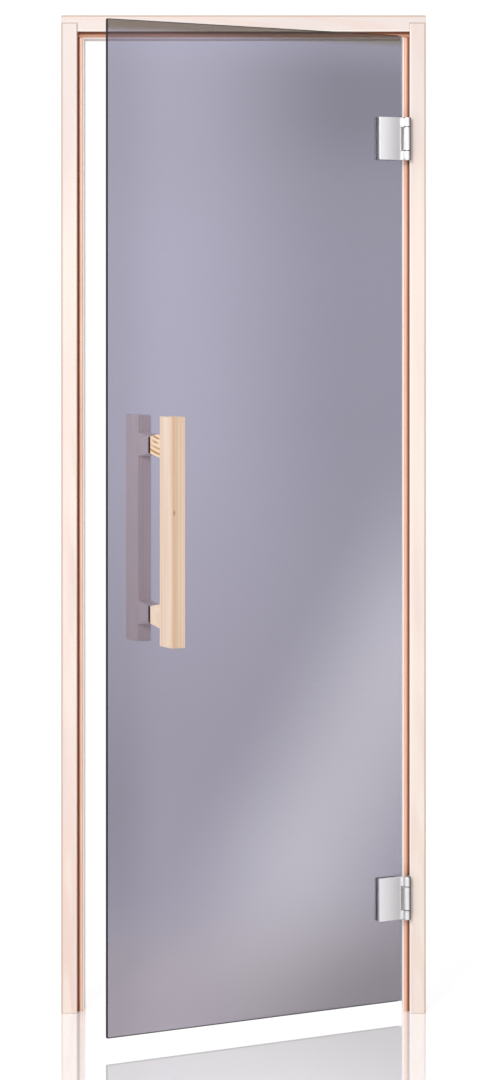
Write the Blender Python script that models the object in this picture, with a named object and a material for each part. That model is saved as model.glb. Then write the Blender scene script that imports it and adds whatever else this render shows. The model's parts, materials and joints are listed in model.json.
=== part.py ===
"""Glass sauna door in a rebated three-sided wood frame, standing ajar.

Metres, +Z up.  The doorway is seen from outside along +Y.  The origin is the centre of the
hinge jamb's foot.  The door leaf is modelled closed, under an empty on the hinge pins' axis,
and the empty is turned to the angle at which the door stands.
"""
import math

import bmesh
import bpy
from mathutils import Matrix, Vector

# Frame
FRAME_WIDTH = 0.690
FRAME_HEIGHT = 1.890
MEMBER_WIDTH = 0.042
MEMBER_DEPTH = 0.068
REBATE_WIDTH = 0.012
REBATE_DEPTH = 0.020
LAP_THICKNESS = 0.014
FRAME_ARRIS = 0.0016

# Seal strips on the stops
SEAL_WIDTH = 0.0062
SEAL_HEIGHT = 0.0037
SEAL_FLANK = 0.0004
SEAL_FIN = 0.0009
SEAL_TO_LEAF = 0.0005

# Glass leaf
GLASS_THICKNESS = 0.008
GLASS_SETBACK = 0.003
GLASS_EDGE_BEVEL = 0.0010
STRIKE_GAP = 0.005
HINGE_GAP = 0.008
TOP_GAP = 0.008
FLOOR_GAP = 0.024
DOOR_ANGLE = math.radians(28.1)

# Hinges
HINGE_END_DISTANCE = 0.1965
HINGE_HEIGHT = 0.081
CENTRE_SPACE = 0.0464
KNUCKLE_GAP = 0.0016
KNUCKLE_RADIUS = 0.0073
PIN_RADIUS = 0.0030
PIN_RECESS = 0.0006
PIN_TO_REBATE = 0.0055
PIN_TO_GLASS = 0.0140
WASHER_RADIUS = 0.0062
LEAF_THICKNESS = 0.0027
LEAF_SCREW_SPACING = 0.056
LEAF_SCREW_RADIUS = 0.0021
LEAF_COUNTERSINK = 0.0038
PLATE_LENGTH = 0.0550
PLATE_THICKNESS = 0.0070
BACK_PLATE_LENGTH = 0.0450
BACK_PLATE_THICKNESS = 0.0060
FRONT_PLATE_BEVEL = 0.0016
PLATE_BEVEL = 0.0009
PLATE_FILLET = 0.0036
PLATE_SLOT = 0.0025
GASKET_THICKNESS = 0.0016
CLAMP_SCREW_RADIUS = 0.0030
CLAMP_HEAD_RADIUS = 0.0056
CLAMP_HEAD_HEIGHT = 0.0028
CLAMP_HEAD_RECESS = 0.0004
CLAMP_SCREW_SPACING = 0.050
CLAMP_SCREW_INSET = 0.0230
CLAMP_SCREW_BITE = 0.0038
GLASS_HOLE_RADIUS = 0.0060

# Handle
HANDLE_HEIGHT = 0.933
BAR_LENGTH = 0.412
BAR_WIDTH = 0.0280
BAR_DEPTH = 0.0490
BAR_BEVEL = 0.0022
BAR_END_BEVEL = 0.0016
HANDLE_EDGE_DISTANCE = 0.0825
STANDOFF_END_DISTANCE = 0.053
STANDOFF_REACH = 0.0420
STANDOFF_WIDTH = 0.0260
STANDOFF_GLASS_HEIGHT = 0.0320
STANDOFF_BAR_HEIGHT = 0.0440
STANDOFF_BEVEL = 0.0014
PAD_THICKNESS = 0.0022
PAD_MARGIN = 0.0016
HANDLE_BOLT_RADIUS = 0.0040
HANDLE_BOLT_BITE = 0.0220

# Clearances and mesh fineness
SEAT_GAP = 0.0003
CUT_MARGIN = 0.0100
ROUND_SIDES = 24
HOLE_SIDES = 16
SEAL_STEPS = 8
FILLET_STEPS = 5
EASED_ANGLE = math.radians(40.0)

# Frame places, worked out from the sizes above
WALL_X = MEMBER_WIDTH / 2
REBATE_X = WALL_X - (MEMBER_WIDTH - REBATE_WIDTH)
STRIKE_WALL_X = WALL_X - FRAME_WIDTH
FRONT_Y = -MEMBER_DEPTH / 2
BACK_Y = MEMBER_DEPTH / 2
STOP_Y = FRONT_Y + REBATE_DEPTH
STRIKE_REBATE_X = STRIKE_WALL_X + WALL_X - REBATE_X
SEAL_INSET = SEAT_GAP + LEAF_THICKNESS + SEAL_TO_LEAF
LEAF_FRONT_Y = FRONT_Y + SEAT_GAP
LEAF_BACK_Y = STOP_Y - SEAT_GAP - SEAL_FIN - SEAL_TO_LEAF
HEAD_REBATE_Z = FRAME_HEIGHT - (MEMBER_WIDTH - REBATE_WIDTH)
HEAD_STOP_Z = FRAME_HEIGHT - MEMBER_WIDTH
LAP_Z = FRAME_HEIGHT - LAP_THICKNESS

# Leaf places, closed, measured from the pins' axis
PIN_X = REBATE_X - PIN_TO_REBATE
PIN_Y = FRONT_Y + GLASS_SETBACK - PIN_TO_GLASS
GLASS_FRONT = PIN_TO_GLASS
GLASS_BACK = GLASS_FRONT + GLASS_THICKNESS
GLASS_EDGE_X = REBATE_X - HINGE_GAP - PIN_X
GLASS_FREE_X = STRIKE_REBATE_X + STRIKE_GAP - PIN_X
GLASS_LOW_Z = FLOOR_GAP
GLASS_HIGH_Z = HEAD_REBATE_Z - TOP_GAP
PLATE_FREE_X = GLASS_EDGE_X - PLATE_LENGTH
PLATE_BACK = GLASS_FRONT - GASKET_THICKNESS
PLATE_FRONT = PLATE_BACK - PLATE_THICKNESS
BACK_PLATE_FRONT = GLASS_BACK + GASKET_THICKNESS
BACK_PLATE_BACK = BACK_PLATE_FRONT + BACK_PLATE_THICKNESS
BACK_PLATE_X = PLATE_FREE_X + BACK_PLATE_LENGTH
CLAMP_X = PLATE_FREE_X + CLAMP_SCREW_INSET
BAR_FREE_X = GLASS_FREE_X + HANDLE_EDGE_DISTANCE
BAR_MID_X = BAR_FREE_X + BAR_WIDTH / 2
HINGE_HEIGHTS = {
    "lower": GLASS_LOW_Z + HINGE_END_DISTANCE,
    "upper": GLASS_HIGH_Z - HINGE_END_DISTANCE,
}
STANDOFF_HEIGHTS = {
    "lower": HANDLE_HEIGHT - BAR_LENGTH / 2 + STANDOFF_END_DISTANCE,
    "upper": HANDLE_HEIGHT + BAR_LENGTH / 2 - STANDOFF_END_DISTANCE,
}


def clear_scene():
    for thing in list(bpy.data.objects):
        bpy.data.objects.remove(thing, do_unlink=True)


def make_material(name, colour, roughness, metallic=0.0, alpha=1.0):
    material = bpy.data.materials.new(name)
    material.use_nodes = True
    shader = material.node_tree.nodes["Principled BSDF"]
    shader.inputs["Base Color"].default_value = (*colour, 1.0)
    shader.inputs["Roughness"].default_value = roughness
    shader.inputs["Metallic"].default_value = metallic
    shader.inputs["Alpha"].default_value = alpha
    material.diffuse_color = (*colour, alpha)
    return material


def frame_wood():
    return make_material("pale_wood", (0.89, 0.78, 0.69), 0.55)


def handle_wood():
    return make_material("handle_wood", (0.82, 0.65, 0.48), 0.55)


def seal_silicone():
    return make_material("seal_silicone", (0.62, 0.34, 0.22), 0.60)


def tinted_glass():
    return make_material("tinted_glass", (0.34, 0.32, 0.38), 0.05, alpha=0.5)


def satin_metal():
    return make_material("satin_metal", (0.72, 0.72, 0.74), 0.32, metallic=1.0)


def pin_steel():
    return make_material("pin_steel", (0.55, 0.55, 0.57), 0.25, metallic=1.0)


def clear_gasket():
    return make_material("gasket", (0.16, 0.16, 0.17), 0.65)


def dark_nylon():
    return make_material("nylon", (0.06, 0.06, 0.06), 0.55)


def make_object(name, mesh_builder, material, parent=None):
    """Turn a finished bmesh into a named object with one material."""
    bmesh.ops.recalc_face_normals(mesh_builder, faces=mesh_builder.faces)
    mesh = bpy.data.meshes.new(name)
    mesh_builder.to_mesh(mesh)
    mesh_builder.free()
    mesh.shade_smooth()
    mesh.set_sharp_from_angle(angle=math.radians(30.0))
    thing = bpy.data.objects.new(name, mesh)
    if material is not None:
        mesh.materials.append(material)
    thing.parent = parent
    bpy.context.collection.objects.link(thing)
    return thing


def prism(outline, low, high, matrix=None):
    """Extrude a closed outline of (x, y) points from z = low to z = high."""
    builder = bmesh.new()
    corners = [builder.verts.new((x, y, low)) for x, y in outline]
    base = builder.faces.new(corners)
    extruded = bmesh.ops.extrude_face_region(builder, geom=[base])
    lifted = [item for item in extruded["geom"] if isinstance(item, bmesh.types.BMVert)]
    bmesh.ops.translate(builder, verts=lifted, vec=(0.0, 0.0, high - low))
    if matrix is not None:
        bmesh.ops.transform(builder, matrix=matrix, verts=builder.verts)
    return builder


def box(x_range, y_range, z_range):
    """A plain block between two values on each axis."""
    outline = [
        (x_range[0], y_range[0]),
        (x_range[1], y_range[0]),
        (x_range[1], y_range[1]),
        (x_range[0], y_range[1]),
    ]
    return prism(outline, z_range[0], z_range[1])


def turned(profile, sides, matrix=None):
    """Turn a profile of (radius, height) points, closed at both ends, about Z."""
    builder = bmesh.new()
    rings = []
    for radius, height in profile:
        ring = []
        for step in range(sides):
            angle = 2.0 * math.pi * step / sides
            ring.append(builder.verts.new((radius * math.cos(angle), radius * math.sin(angle), height)))
        rings.append(ring)
    for below, above in zip(rings, rings[1:]):
        for step in range(sides):
            after = (step + 1) % sides
            builder.faces.new((below[step], below[after], above[after], above[step]))
    builder.faces.new(list(reversed(rings[0])))
    builder.faces.new(rings[-1])
    if matrix is not None:
        bmesh.ops.transform(builder, matrix=matrix, verts=builder.verts)
    return builder


def along_y(x, y, z):
    """Matrix that lays a turned piece's axis along +Y, starting at (x, y, z)."""
    return Matrix.Translation((x, y, z)) @ Matrix.Rotation(-math.pi / 2, 4, "X")


def along_x(x, y, z):
    """Matrix that lays a turned piece's axis along +X, starting at (x, y, z)."""
    return Matrix.Translation((x, y, z)) @ Matrix.Rotation(math.pi / 2, 4, "Y")


def arc(centre, radius, start, end, steps):
    """Points on a circle from angle start to angle end, both included."""
    points = []
    for step in range(steps + 1):
        angle = start + (end - start) * step / steps
        points.append((centre[0] + radius * math.cos(angle), centre[1] + radius * math.sin(angle)))
    return points


def cut(thing, builder, parent=None):
    """Take a shape out of an object with a Boolean."""
    cutter = make_object(thing.name + "_cutter", builder, None, parent)
    cutter.hide_render = True
    cutter.display_type = "WIRE"
    modifier = thing.modifiers.new("cut", "BOOLEAN")
    modifier.operation = "DIFFERENCE"
    modifier.solver = "EXACT"
    modifier.object = cutter
    return cutter


def ease_edges(thing, width, segments=2):
    """Round the sharp edges of an object by the given width."""
    modifier = thing.modifiers.new("ease", "BEVEL")
    modifier.width = width
    modifier.segments = segments
    modifier.limit_method = "ANGLE"
    modifier.angle_limit = EASED_ANGLE
    modifier.use_clamp_overlap = True
    return modifier


def ease_by_share(thing, width, share_of):
    """Round each edge by its own share of the width."""
    builder = bmesh.new()
    builder.from_mesh(thing.data)
    weights = builder.edges.layers.float.new("bevel_weight_edge")
    for edge in builder.edges:
        edge[weights] = share_of(edge)
    builder.to_mesh(thing.data)
    builder.free()
    ease_edges(thing, width).limit_method = "WEIGHT"


def ease_outward_edges(thing, width):
    """Round only the edges that stand out, so that a rebate's inner corner stays square."""
    def stands_out(edge):
        return float(edge.is_convex and edge.calc_face_angle() > EASED_ANGLE)

    ease_by_share(thing, width, stands_out)


def ease_bar_edges(bar):
    """Round a bar's long edges, and those round its ends by a width of their own."""
    widest = max(BAR_BEVEL, BAR_END_BEVEL)

    def share_of(edge):
        upright = abs(edge.verts[0].co.z - edge.verts[1].co.z) > BAR_LENGTH / 2
        return (BAR_BEVEL if upright else BAR_END_BEVEL) / widest

    ease_by_share(bar, widest, share_of)


def build_jamb(name, wall_x, rebate_x, material):
    """A rebated post: full width at the wall, its stop cut off under the head's stop."""
    inward = math.copysign(1.0, rebate_x - wall_x)
    inner_x = rebate_x + inward * REBATE_WIDTH
    section = [
        (wall_x, FRONT_Y),
        (rebate_x, FRONT_Y),
        (rebate_x, STOP_Y),
        (inner_x, STOP_Y),
        (inner_x, BACK_Y),
        (wall_x, BACK_Y),
    ]
    jamb = make_object(name, prism(section, 0.0, LAP_Z - SEAT_GAP), material)
    ease_outward_edges(jamb, FRAME_ARRIS)
    stop_top = box(
        sorted((rebate_x, inner_x + inward * CUT_MARGIN)),
        (FRONT_Y - CUT_MARGIN, BACK_Y + CUT_MARGIN),
        (HEAD_STOP_Z - SEAT_GAP, LAP_Z + CUT_MARGIN),
    )
    cut(jamb, stop_top)
    return jamb


def build_head(material):
    """The head laps over both jambs, and its rebate runs between them."""
    section = [
        (FRONT_Y, HEAD_REBATE_Z),
        (FRONT_Y, FRAME_HEIGHT),
        (BACK_Y, FRAME_HEIGHT),
        (BACK_Y, HEAD_STOP_Z),
        (STOP_Y, HEAD_STOP_Z),
        (STOP_Y, HEAD_REBATE_Z),
    ]
    lying = Matrix((
        (0.0, 0.0, 1.0, 0.0),
        (1.0, 0.0, 0.0, 0.0),
        (0.0, 1.0, 0.0, 0.0),
        (0.0, 0.0, 0.0, 1.0),
    ))
    head = make_object("head", prism(section, STRIKE_WALL_X, WALL_X, lying), material)
    ease_outward_edges(head, FRAME_ARRIS)
    depth_range = (FRONT_Y - CUT_MARGIN, BACK_Y + CUT_MARGIN)
    below_lap = (HEAD_STOP_Z - CUT_MARGIN, LAP_Z)
    cut(head, box((STRIKE_WALL_X - CUT_MARGIN, STRIKE_REBATE_X + SEAT_GAP), depth_range, below_lap))
    cut(head, box((REBATE_X - SEAT_GAP, WALL_X + CUT_MARGIN), depth_range, below_lap))
    return head


def seal_outline():
    """Section of a seal: a thin fin from the rebate's wall, then a round bulb; (across, height)."""
    half = SEAL_WIDTH / 2
    middle = SEAL_INSET + half
    base = SEAL_FIN + SEAL_FLANK
    crown = [
        (middle + half * across, base + (SEAL_HEIGHT - base) * rise)
        for across, rise in arc((0.0, 0.0), 1.0, 0.0, math.pi, SEAL_STEPS)
    ]
    foot = [(SEAT_GAP, 0.0), (SEAL_INSET + SEAL_WIDTH, 0.0)]
    return foot + crown + [(SEAL_INSET, SEAL_FIN), (SEAT_GAP, SEAL_FIN)]


def build_seals(material):
    """Seal strips on the stops: the head's runs over the tops of the jambs' ones."""
    seat_y = STOP_Y - SEAT_GAP
    section = [(across, seat_y - height) for across, height in seal_outline()]
    hinge_side = [(REBATE_X - across, y) for across, y in section]
    strike_side = [(STRIKE_REBATE_X + across, y) for across, y in section]
    high = HEAD_REBATE_Z - SEAL_INSET - SEAL_WIDTH - SEAT_GAP
    make_object("seal_hinge_side", prism(hinge_side, 0.0, high), material)
    make_object("seal_strike_side", prism(strike_side, 0.0, high), material)
    start = STRIKE_REBATE_X + SEAT_GAP
    length = REBATE_X - SEAT_GAP - start
    hanging = Matrix((
        (0.0, 0.0, 1.0, start),
        (0.0, 1.0, 0.0, 0.0),
        (-1.0, 0.0, 0.0, HEAD_REBATE_Z),
        (0.0, 0.0, 0.0, 1.0),
    ))
    make_object("seal_head", prism(section, 0.0, length, hanging), material)


def build_glass(parent, material):
    """The pane, with holes for the hinges' clamp screws and the handle's bolts."""
    pane = make_object(
        "glass_pane",
        box(
            (GLASS_FREE_X, GLASS_EDGE_X),
            (GLASS_FRONT, GLASS_BACK),
            (GLASS_LOW_Z, GLASS_HIGH_Z),
        ),
        material,
        parent,
    )
    ease_edges(pane, GLASS_EDGE_BEVEL, segments=1)
    depth = GLASS_THICKNESS + 2 * CUT_MARGIN
    profile = [(GLASS_HOLE_RADIUS, 0.0), (GLASS_HOLE_RADIUS, depth)]
    places = [(BAR_MID_X, height) for height in STANDOFF_HEIGHTS.values()]
    for height in HINGE_HEIGHTS.values():
        for side in (-1, 1):
            places.append((CLAMP_X, height + side * CLAMP_SCREW_SPACING / 2))
    for x, z in places:
        cut(pane, turned(profile, HOLE_SIDES, along_y(x, GLASS_FRONT - CUT_MARGIN, z)), parent)
    return pane


def knuckle_fillet():
    """Centre and end angles of the hollow between a front plate and its knuckles."""
    centre_y = PLATE_FRONT - PLATE_FILLET
    reach = KNUCKLE_RADIUS + PLATE_FILLET
    centre_x = -math.sqrt(reach ** 2 - centre_y ** 2)
    towards_pin = math.atan2(-centre_y, -centre_x)
    return (centre_x, centre_y), towards_pin


def front_plate_outline():
    """Plan of a front plate: flat on the glass, swept up into the knuckle round the pin."""
    centre, towards_pin = knuckle_fillet()
    hollow = arc(centre, PLATE_FILLET, math.pi / 2, towards_pin, FILLET_STEPS)
    start = math.pi + towards_pin
    knuckle = arc((0.0, 0.0), KNUCKLE_RADIUS, start, 2.0 * math.pi + math.pi / 4, ROUND_SIDES)
    free_end = [(PLATE_FREE_X, PLATE_BACK), (PLATE_FREE_X, PLATE_FRONT)]
    return free_end + hollow + knuckle[1:] + [(GLASS_EDGE_X, PLATE_BACK)]


def build_front_plate(label, height, parent, material):
    """Outer clamp plate with two knuckles, slotted for the frame leaf's centre knuckle."""
    low = height - HINGE_HEIGHT / 2
    high = height + HINGE_HEIGHT / 2
    name = f"hinge_{label}_front_plate"
    plate = make_object(name, prism(front_plate_outline(), low, high), material, parent)
    ease_edges(plate, FRONT_PLATE_BEVEL)
    slot_edge = -(KNUCKLE_RADIUS + PLATE_SLOT)
    slot = box(
        (slot_edge, KNUCKLE_RADIUS + CUT_MARGIN),
        (-KNUCKLE_RADIUS - CUT_MARGIN, PLATE_BACK + CUT_MARGIN),
        (height - CENTRE_SPACE / 2, height + CENTRE_SPACE / 2),
    )
    cut(plate, slot, parent)
    bore_radius = PIN_RADIUS + SEAT_GAP
    bore_length = HINGE_HEIGHT + 2 * CUT_MARGIN
    bore_profile = [(bore_radius, 0.0), (bore_radius, bore_length)]
    bore_place = Matrix.Translation((0.0, 0.0, low - CUT_MARGIN))
    cut(plate, turned(bore_profile, HOLE_SIDES, bore_place), parent)
    hole_radius = CLAMP_SCREW_RADIUS + SEAT_GAP
    hole_depth = CLAMP_SCREW_BITE + SEAT_GAP
    hole_profile = [(hole_radius, 0.0), (hole_radius, hole_depth + CUT_MARGIN)]
    for side in (-1, 1):
        place = along_y(CLAMP_X, PLATE_BACK - hole_depth, height + side * CLAMP_SCREW_SPACING / 2)
        cut(plate, turned(hole_profile, HOLE_SIDES, place), parent)
    return plate


def screw_head_cut():
    """Profile of a clamp screw's countersunk hole, from outside the plate inwards."""
    clearance = CLAMP_SCREW_RADIUS + SEAT_GAP
    mouth = CLAMP_HEAD_RADIUS + SEAT_GAP
    seat = BACK_PLATE_THICKNESS - CLAMP_HEAD_RECESS - SEAT_GAP
    return [
        (clearance, -CUT_MARGIN),
        (clearance, seat - CLAMP_HEAD_HEIGHT),
        (mouth, seat),
        (mouth, BACK_PLATE_THICKNESS + CUT_MARGIN),
    ]


def build_back_plate(label, height, parent, material):
    """Inner clamp plate, countersunk for the two clamp screws."""
    plate = make_object(
        f"hinge_{label}_back_plate",
        box(
            (PLATE_FREE_X, BACK_PLATE_X),
            (BACK_PLATE_FRONT, BACK_PLATE_BACK),
            (height - HINGE_HEIGHT / 2, height + HINGE_HEIGHT / 2),
        ),
        material,
        parent,
    )
    ease_edges(plate, PLATE_BEVEL)
    for side in (-1, 1):
        place = along_y(CLAMP_X, BACK_PLATE_FRONT, height + side * CLAMP_SCREW_SPACING / 2)
        cut(plate, turned(screw_head_cut(), HOLE_SIDES, place), parent)
    return plate


def build_gasket(name, x_high, y_low, height, parent, material):
    """Thin pad between the glass and one clamp plate, with holes for the screws."""
    gasket = make_object(
        name,
        box(
            (PLATE_FREE_X + SEAT_GAP, x_high - SEAT_GAP),
            (y_low + SEAT_GAP, y_low + GASKET_THICKNESS - SEAT_GAP),
            (height - HINGE_HEIGHT / 2 + SEAT_GAP, height + HINGE_HEIGHT / 2 - SEAT_GAP),
        ),
        material,
        parent,
    )
    radius = CLAMP_SCREW_RADIUS + SEAT_GAP
    profile = [(radius, 0.0), (radius, GASKET_THICKNESS + 2 * CUT_MARGIN)]
    for side in (-1, 1):
        place = along_y(CLAMP_X, y_low - CUT_MARGIN, height + side * CLAMP_SCREW_SPACING / 2)
        cut(gasket, turned(profile, HOLE_SIDES, place), parent)
    return gasket


def build_clamp_screw(name, height, parent, material):
    """Countersunk screw through back plate, gaskets and glass into the front plate."""
    tip = PLATE_BACK - CLAMP_SCREW_BITE
    head = BACK_PLATE_BACK - CLAMP_HEAD_RECESS
    length = head - tip
    profile = [
        (CLAMP_SCREW_RADIUS, 0.0),
        (CLAMP_SCREW_RADIUS, length - CLAMP_HEAD_HEIGHT),
        (CLAMP_HEAD_RADIUS, length),
    ]
    return make_object(name, turned(profile, HOLE_SIDES, along_y(CLAMP_X, tip, height)), material, parent)


def frame_leaf_outline():
    """Plan of a frame leaf: a flat in the rebate, a web forward, and the centre knuckle."""
    outer_x = PIN_X + PIN_TO_REBATE - SEAT_GAP
    inner_x = outer_x - LEAF_THICKNESS
    offset_in = inner_x - PIN_X
    offset_out = outer_x - PIN_X
    start = math.acos(offset_in / KNUCKLE_RADIUS)
    end = math.acos(offset_out / KNUCKLE_RADIUS)
    knuckle = arc((PIN_X, PIN_Y), KNUCKLE_RADIUS, start, 2.0 * math.pi + end, ROUND_SIDES)
    return knuckle + [(outer_x, LEAF_BACK_Y), (inner_x, LEAF_BACK_Y)]


def build_frame_leaf(label, height, material):
    """Frame half of a hinge: screwed into the rebate, its knuckle between the plate's two."""
    low = height - HINGE_HEIGHT / 2
    high = height + HINGE_HEIGHT / 2
    leaf = make_object(f"hinge_{label}_frame_leaf", prism(frame_leaf_outline(), low, high), material)
    web_half = CENTRE_SPACE / 2 - KNUCKLE_GAP
    front_range = (PIN_Y - KNUCKLE_RADIUS - CUT_MARGIN, LEAF_FRONT_Y)
    side_range = (PIN_X - KNUCKLE_RADIUS - CUT_MARGIN, REBATE_X + CUT_MARGIN)
    cut(leaf, box(side_range, front_range, (low - CUT_MARGIN, height - web_half)))
    cut(leaf, box(side_range, front_range, (height + web_half, high + CUT_MARGIN)))
    ease_edges(leaf, PLATE_BEVEL / 2)
    bore_radius = PIN_RADIUS + SEAT_GAP
    bore_profile = [(bore_radius, 0.0), (bore_radius, HINGE_HEIGHT + 2 * CUT_MARGIN)]
    cut(leaf, turned(bore_profile, HOLE_SIDES, Matrix.Translation((PIN_X, PIN_Y, low - CUT_MARGIN))))
    sink_start = REBATE_X - SEAT_GAP - LEAF_THICKNESS
    profile = [
        (LEAF_COUNTERSINK, -CUT_MARGIN),
        (LEAF_COUNTERSINK, 0.0),
        (LEAF_SCREW_RADIUS, LEAF_COUNTERSINK - LEAF_SCREW_RADIUS),
        (LEAF_SCREW_RADIUS, LEAF_THICKNESS + CUT_MARGIN),
    ]
    screw_y = (LEAF_FRONT_Y + LEAF_BACK_Y) / 2
    for side in (-1, 1):
        place = along_x(sink_start, screw_y, height + side * LEAF_SCREW_SPACING / 2)
        cut(leaf, turned(profile, HOLE_SIDES, place))
    return leaf


def build_pin(label, height, material):
    """Hinge pin, held in the frame leaf's knuckle."""
    length = HINGE_HEIGHT - 2 * PIN_RECESS
    nose = PIN_RADIUS / 4
    profile = [
        (PIN_RADIUS - nose, 0.0),
        (PIN_RADIUS, nose),
        (PIN_RADIUS, length - nose),
        (PIN_RADIUS - nose, length),
    ]
    place = Matrix.Translation((PIN_X, PIN_Y, height - length / 2))
    return make_object(f"hinge_{label}_pin", turned(profile, HOLE_SIDES, place), material)


def build_washer(name, middle, material):
    """Bearing washer between two knuckles."""
    thickness = KNUCKLE_GAP - 2 * SEAT_GAP
    low = middle - thickness / 2
    profile = [(WASHER_RADIUS, 0.0), (WASHER_RADIUS, thickness)]
    washer = make_object(
        name,
        turned(profile, ROUND_SIDES, Matrix.Translation((PIN_X, PIN_Y, low))),
        material,
    )
    bore = PIN_RADIUS + SEAT_GAP
    bore_profile = [(bore, 0.0), (bore, thickness + 2 * CUT_MARGIN)]
    cut(washer, turned(bore_profile, HOLE_SIDES, Matrix.Translation((PIN_X, PIN_Y, low - CUT_MARGIN))))
    return washer


def build_hinges(leaf_axis):
    """Both hinges: frame leaf, pin and washers on the jamb, clamp set on the glass."""
    metal = satin_metal()
    steel = pin_steel()
    rubber = clear_gasket()
    nylon = dark_nylon()
    for label, height in HINGE_HEIGHTS.items():
        build_frame_leaf(label, height, metal)
        build_pin(label, height, steel)
        washer_offset = CENTRE_SPACE / 2 - KNUCKLE_GAP / 2
        build_washer(f"hinge_{label}_top_washer", height + washer_offset, nylon)
        build_washer(f"hinge_{label}_bottom_washer", height - washer_offset, nylon)
        build_front_plate(label, height, leaf_axis, metal)
        build_back_plate(label, height, leaf_axis, metal)
        front_name = f"hinge_{label}_front_gasket"
        back_name = f"hinge_{label}_back_gasket"
        build_gasket(front_name, GLASS_EDGE_X, PLATE_BACK, height, leaf_axis, rubber)
        build_gasket(back_name, BACK_PLATE_X, GLASS_BACK, height, leaf_axis, rubber)
        spread = CLAMP_SCREW_SPACING / 2
        build_clamp_screw(f"hinge_{label}_top_clamp_screw", height + spread, leaf_axis, steel)
        build_clamp_screw(f"hinge_{label}_bottom_clamp_screw", height - spread, leaf_axis, steel)


def handle_side(side):
    """Faces across the glass on one side, outwards: glass, pad, standoff and bar back."""
    face = GLASS_FRONT if side < 0 else GLASS_BACK
    return face, face + side * PAD_THICKNESS, face + side * STANDOFF_REACH


def bolt_hole(thing, low, high, height, parent):
    """Bore an object along Y for a handle bolt."""
    radius = HANDLE_BOLT_RADIUS + SEAT_GAP
    profile = [(radius, 0.0), (radius, high - low)]
    cut(thing, turned(profile, HOLE_SIDES, along_y(BAR_MID_X, low, height)), parent)


def build_bar(name, side, parent, material):
    """Upright grip, with eased edges and blind holes for the bolts."""
    seat = handle_side(side)[2]
    back = seat + side * SEAT_GAP
    front = seat + side * BAR_DEPTH
    bar = make_object(
        name,
        box(
            (BAR_FREE_X, BAR_FREE_X + BAR_WIDTH),
            sorted((back, front)),
            (HANDLE_HEIGHT - BAR_LENGTH / 2, HANDLE_HEIGHT + BAR_LENGTH / 2),
        ),
        material,
        parent,
    )
    ease_bar_edges(bar)
    for height in STANDOFF_HEIGHTS.values():
        hole = sorted((seat - side * CUT_MARGIN, seat + side * (HANDLE_BOLT_BITE + SEAT_GAP)))
        bolt_hole(bar, hole[0], hole[1], height, parent)
    return bar


def build_standoff(name, side, height, parent, material):
    """Block that widens from the glass to the bar, bored for the bolt."""
    pad, seat = handle_side(side)[1:]
    near = pad + side * SEAT_GAP
    narrow = STANDOFF_GLASS_HEIGHT / 2
    wide = STANDOFF_BAR_HEIGHT / 2
    outline = [
        (near, height - narrow),
        (seat, height - wide),
        (seat, height + wide),
        (near, height + narrow),
    ]
    across = Matrix((
        (0.0, 0.0, 1.0, BAR_MID_X - STANDOFF_WIDTH / 2),
        (1.0, 0.0, 0.0, 0.0),
        (0.0, 1.0, 0.0, 0.0),
        (0.0, 0.0, 0.0, 1.0),
    ))
    block = make_object(name, prism(outline, 0.0, STANDOFF_WIDTH, across), material, parent)
    ease_edges(block, STANDOFF_BEVEL)
    bore = sorted((near - side * CUT_MARGIN, seat + side * CUT_MARGIN))
    bolt_hole(block, bore[0], bore[1], height, parent)
    return block


def build_pad(name, side, height, parent, material):
    """Soft pad between a standoff and the glass."""
    glass, pad = handle_side(side)[:2]
    near = glass + side * SEAT_GAP
    half_width = STANDOFF_WIDTH / 2 - PAD_MARGIN
    half_height = STANDOFF_GLASS_HEIGHT / 2 - PAD_MARGIN
    block = make_object(
        name,
        box(
            (BAR_MID_X - half_width, BAR_MID_X + half_width),
            sorted((near, pad)),
            (height - half_height, height + half_height),
        ),
        material,
        parent,
    )
    bore = sorted((near - side * CUT_MARGIN, pad + side * CUT_MARGIN))
    bolt_hole(block, bore[0], bore[1], height, parent)
    return block


def build_handle(leaf_axis):
    """A bar on each side of the glass, on two pairs of standoffs joined by through bolts."""
    wood = handle_wood()
    rubber = dark_nylon()
    steel = pin_steel()
    for place, side in (("outer", -1), ("inner", 1)):
        build_bar(f"handle_{place}_bar", side, leaf_axis, wood)
        for label, height in STANDOFF_HEIGHTS.items():
            build_standoff(f"handle_{place}_{label}_standoff", side, height, leaf_axis, wood)
            build_pad(f"handle_{place}_{label}_pad", side, height, leaf_axis, rubber)
    start = handle_side(-1)[2] - HANDLE_BOLT_BITE
    end = handle_side(1)[2] + HANDLE_BOLT_BITE
    profile = [(HANDLE_BOLT_RADIUS, 0.0), (HANDLE_BOLT_RADIUS, end - start)]
    for label, height in STANDOFF_HEIGHTS.items():
        bolt = turned(profile, HOLE_SIDES, along_y(BAR_MID_X, start, height))
        make_object(f"handle_{label}_bolt", bolt, steel, leaf_axis)


def build_frame():
    """Two rebated jambs and the head that laps over them, with their seal strips."""
    wood = frame_wood()
    build_jamb("hinge_jamb", WALL_X, REBATE_X, wood)
    build_jamb("strike_jamb", STRIKE_WALL_X, STRIKE_REBATE_X, wood)
    build_head(wood)
    build_seals(seal_silicone())


def build_leaf_axis():
    """Empty on the pins' axis, turned to the angle at which the door stands."""
    axis = bpy.data.objects.new("leaf_axis", None)
    axis.empty_display_type = "ARROWS"
    axis.empty_display_size = 0.1
    axis.location = Vector((PIN_X, PIN_Y, 0.0))
    axis.rotation_euler = (0.0, 0.0, DOOR_ANGLE)
    bpy.context.collection.objects.link(axis)
    return axis


def main():
    clear_scene()
    build_frame()
    leaf_axis = build_leaf_axis()
    build_glass(leaf_axis, tinted_glass())
    build_hinges(leaf_axis)
    build_handle(leaf_axis)


main()
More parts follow.
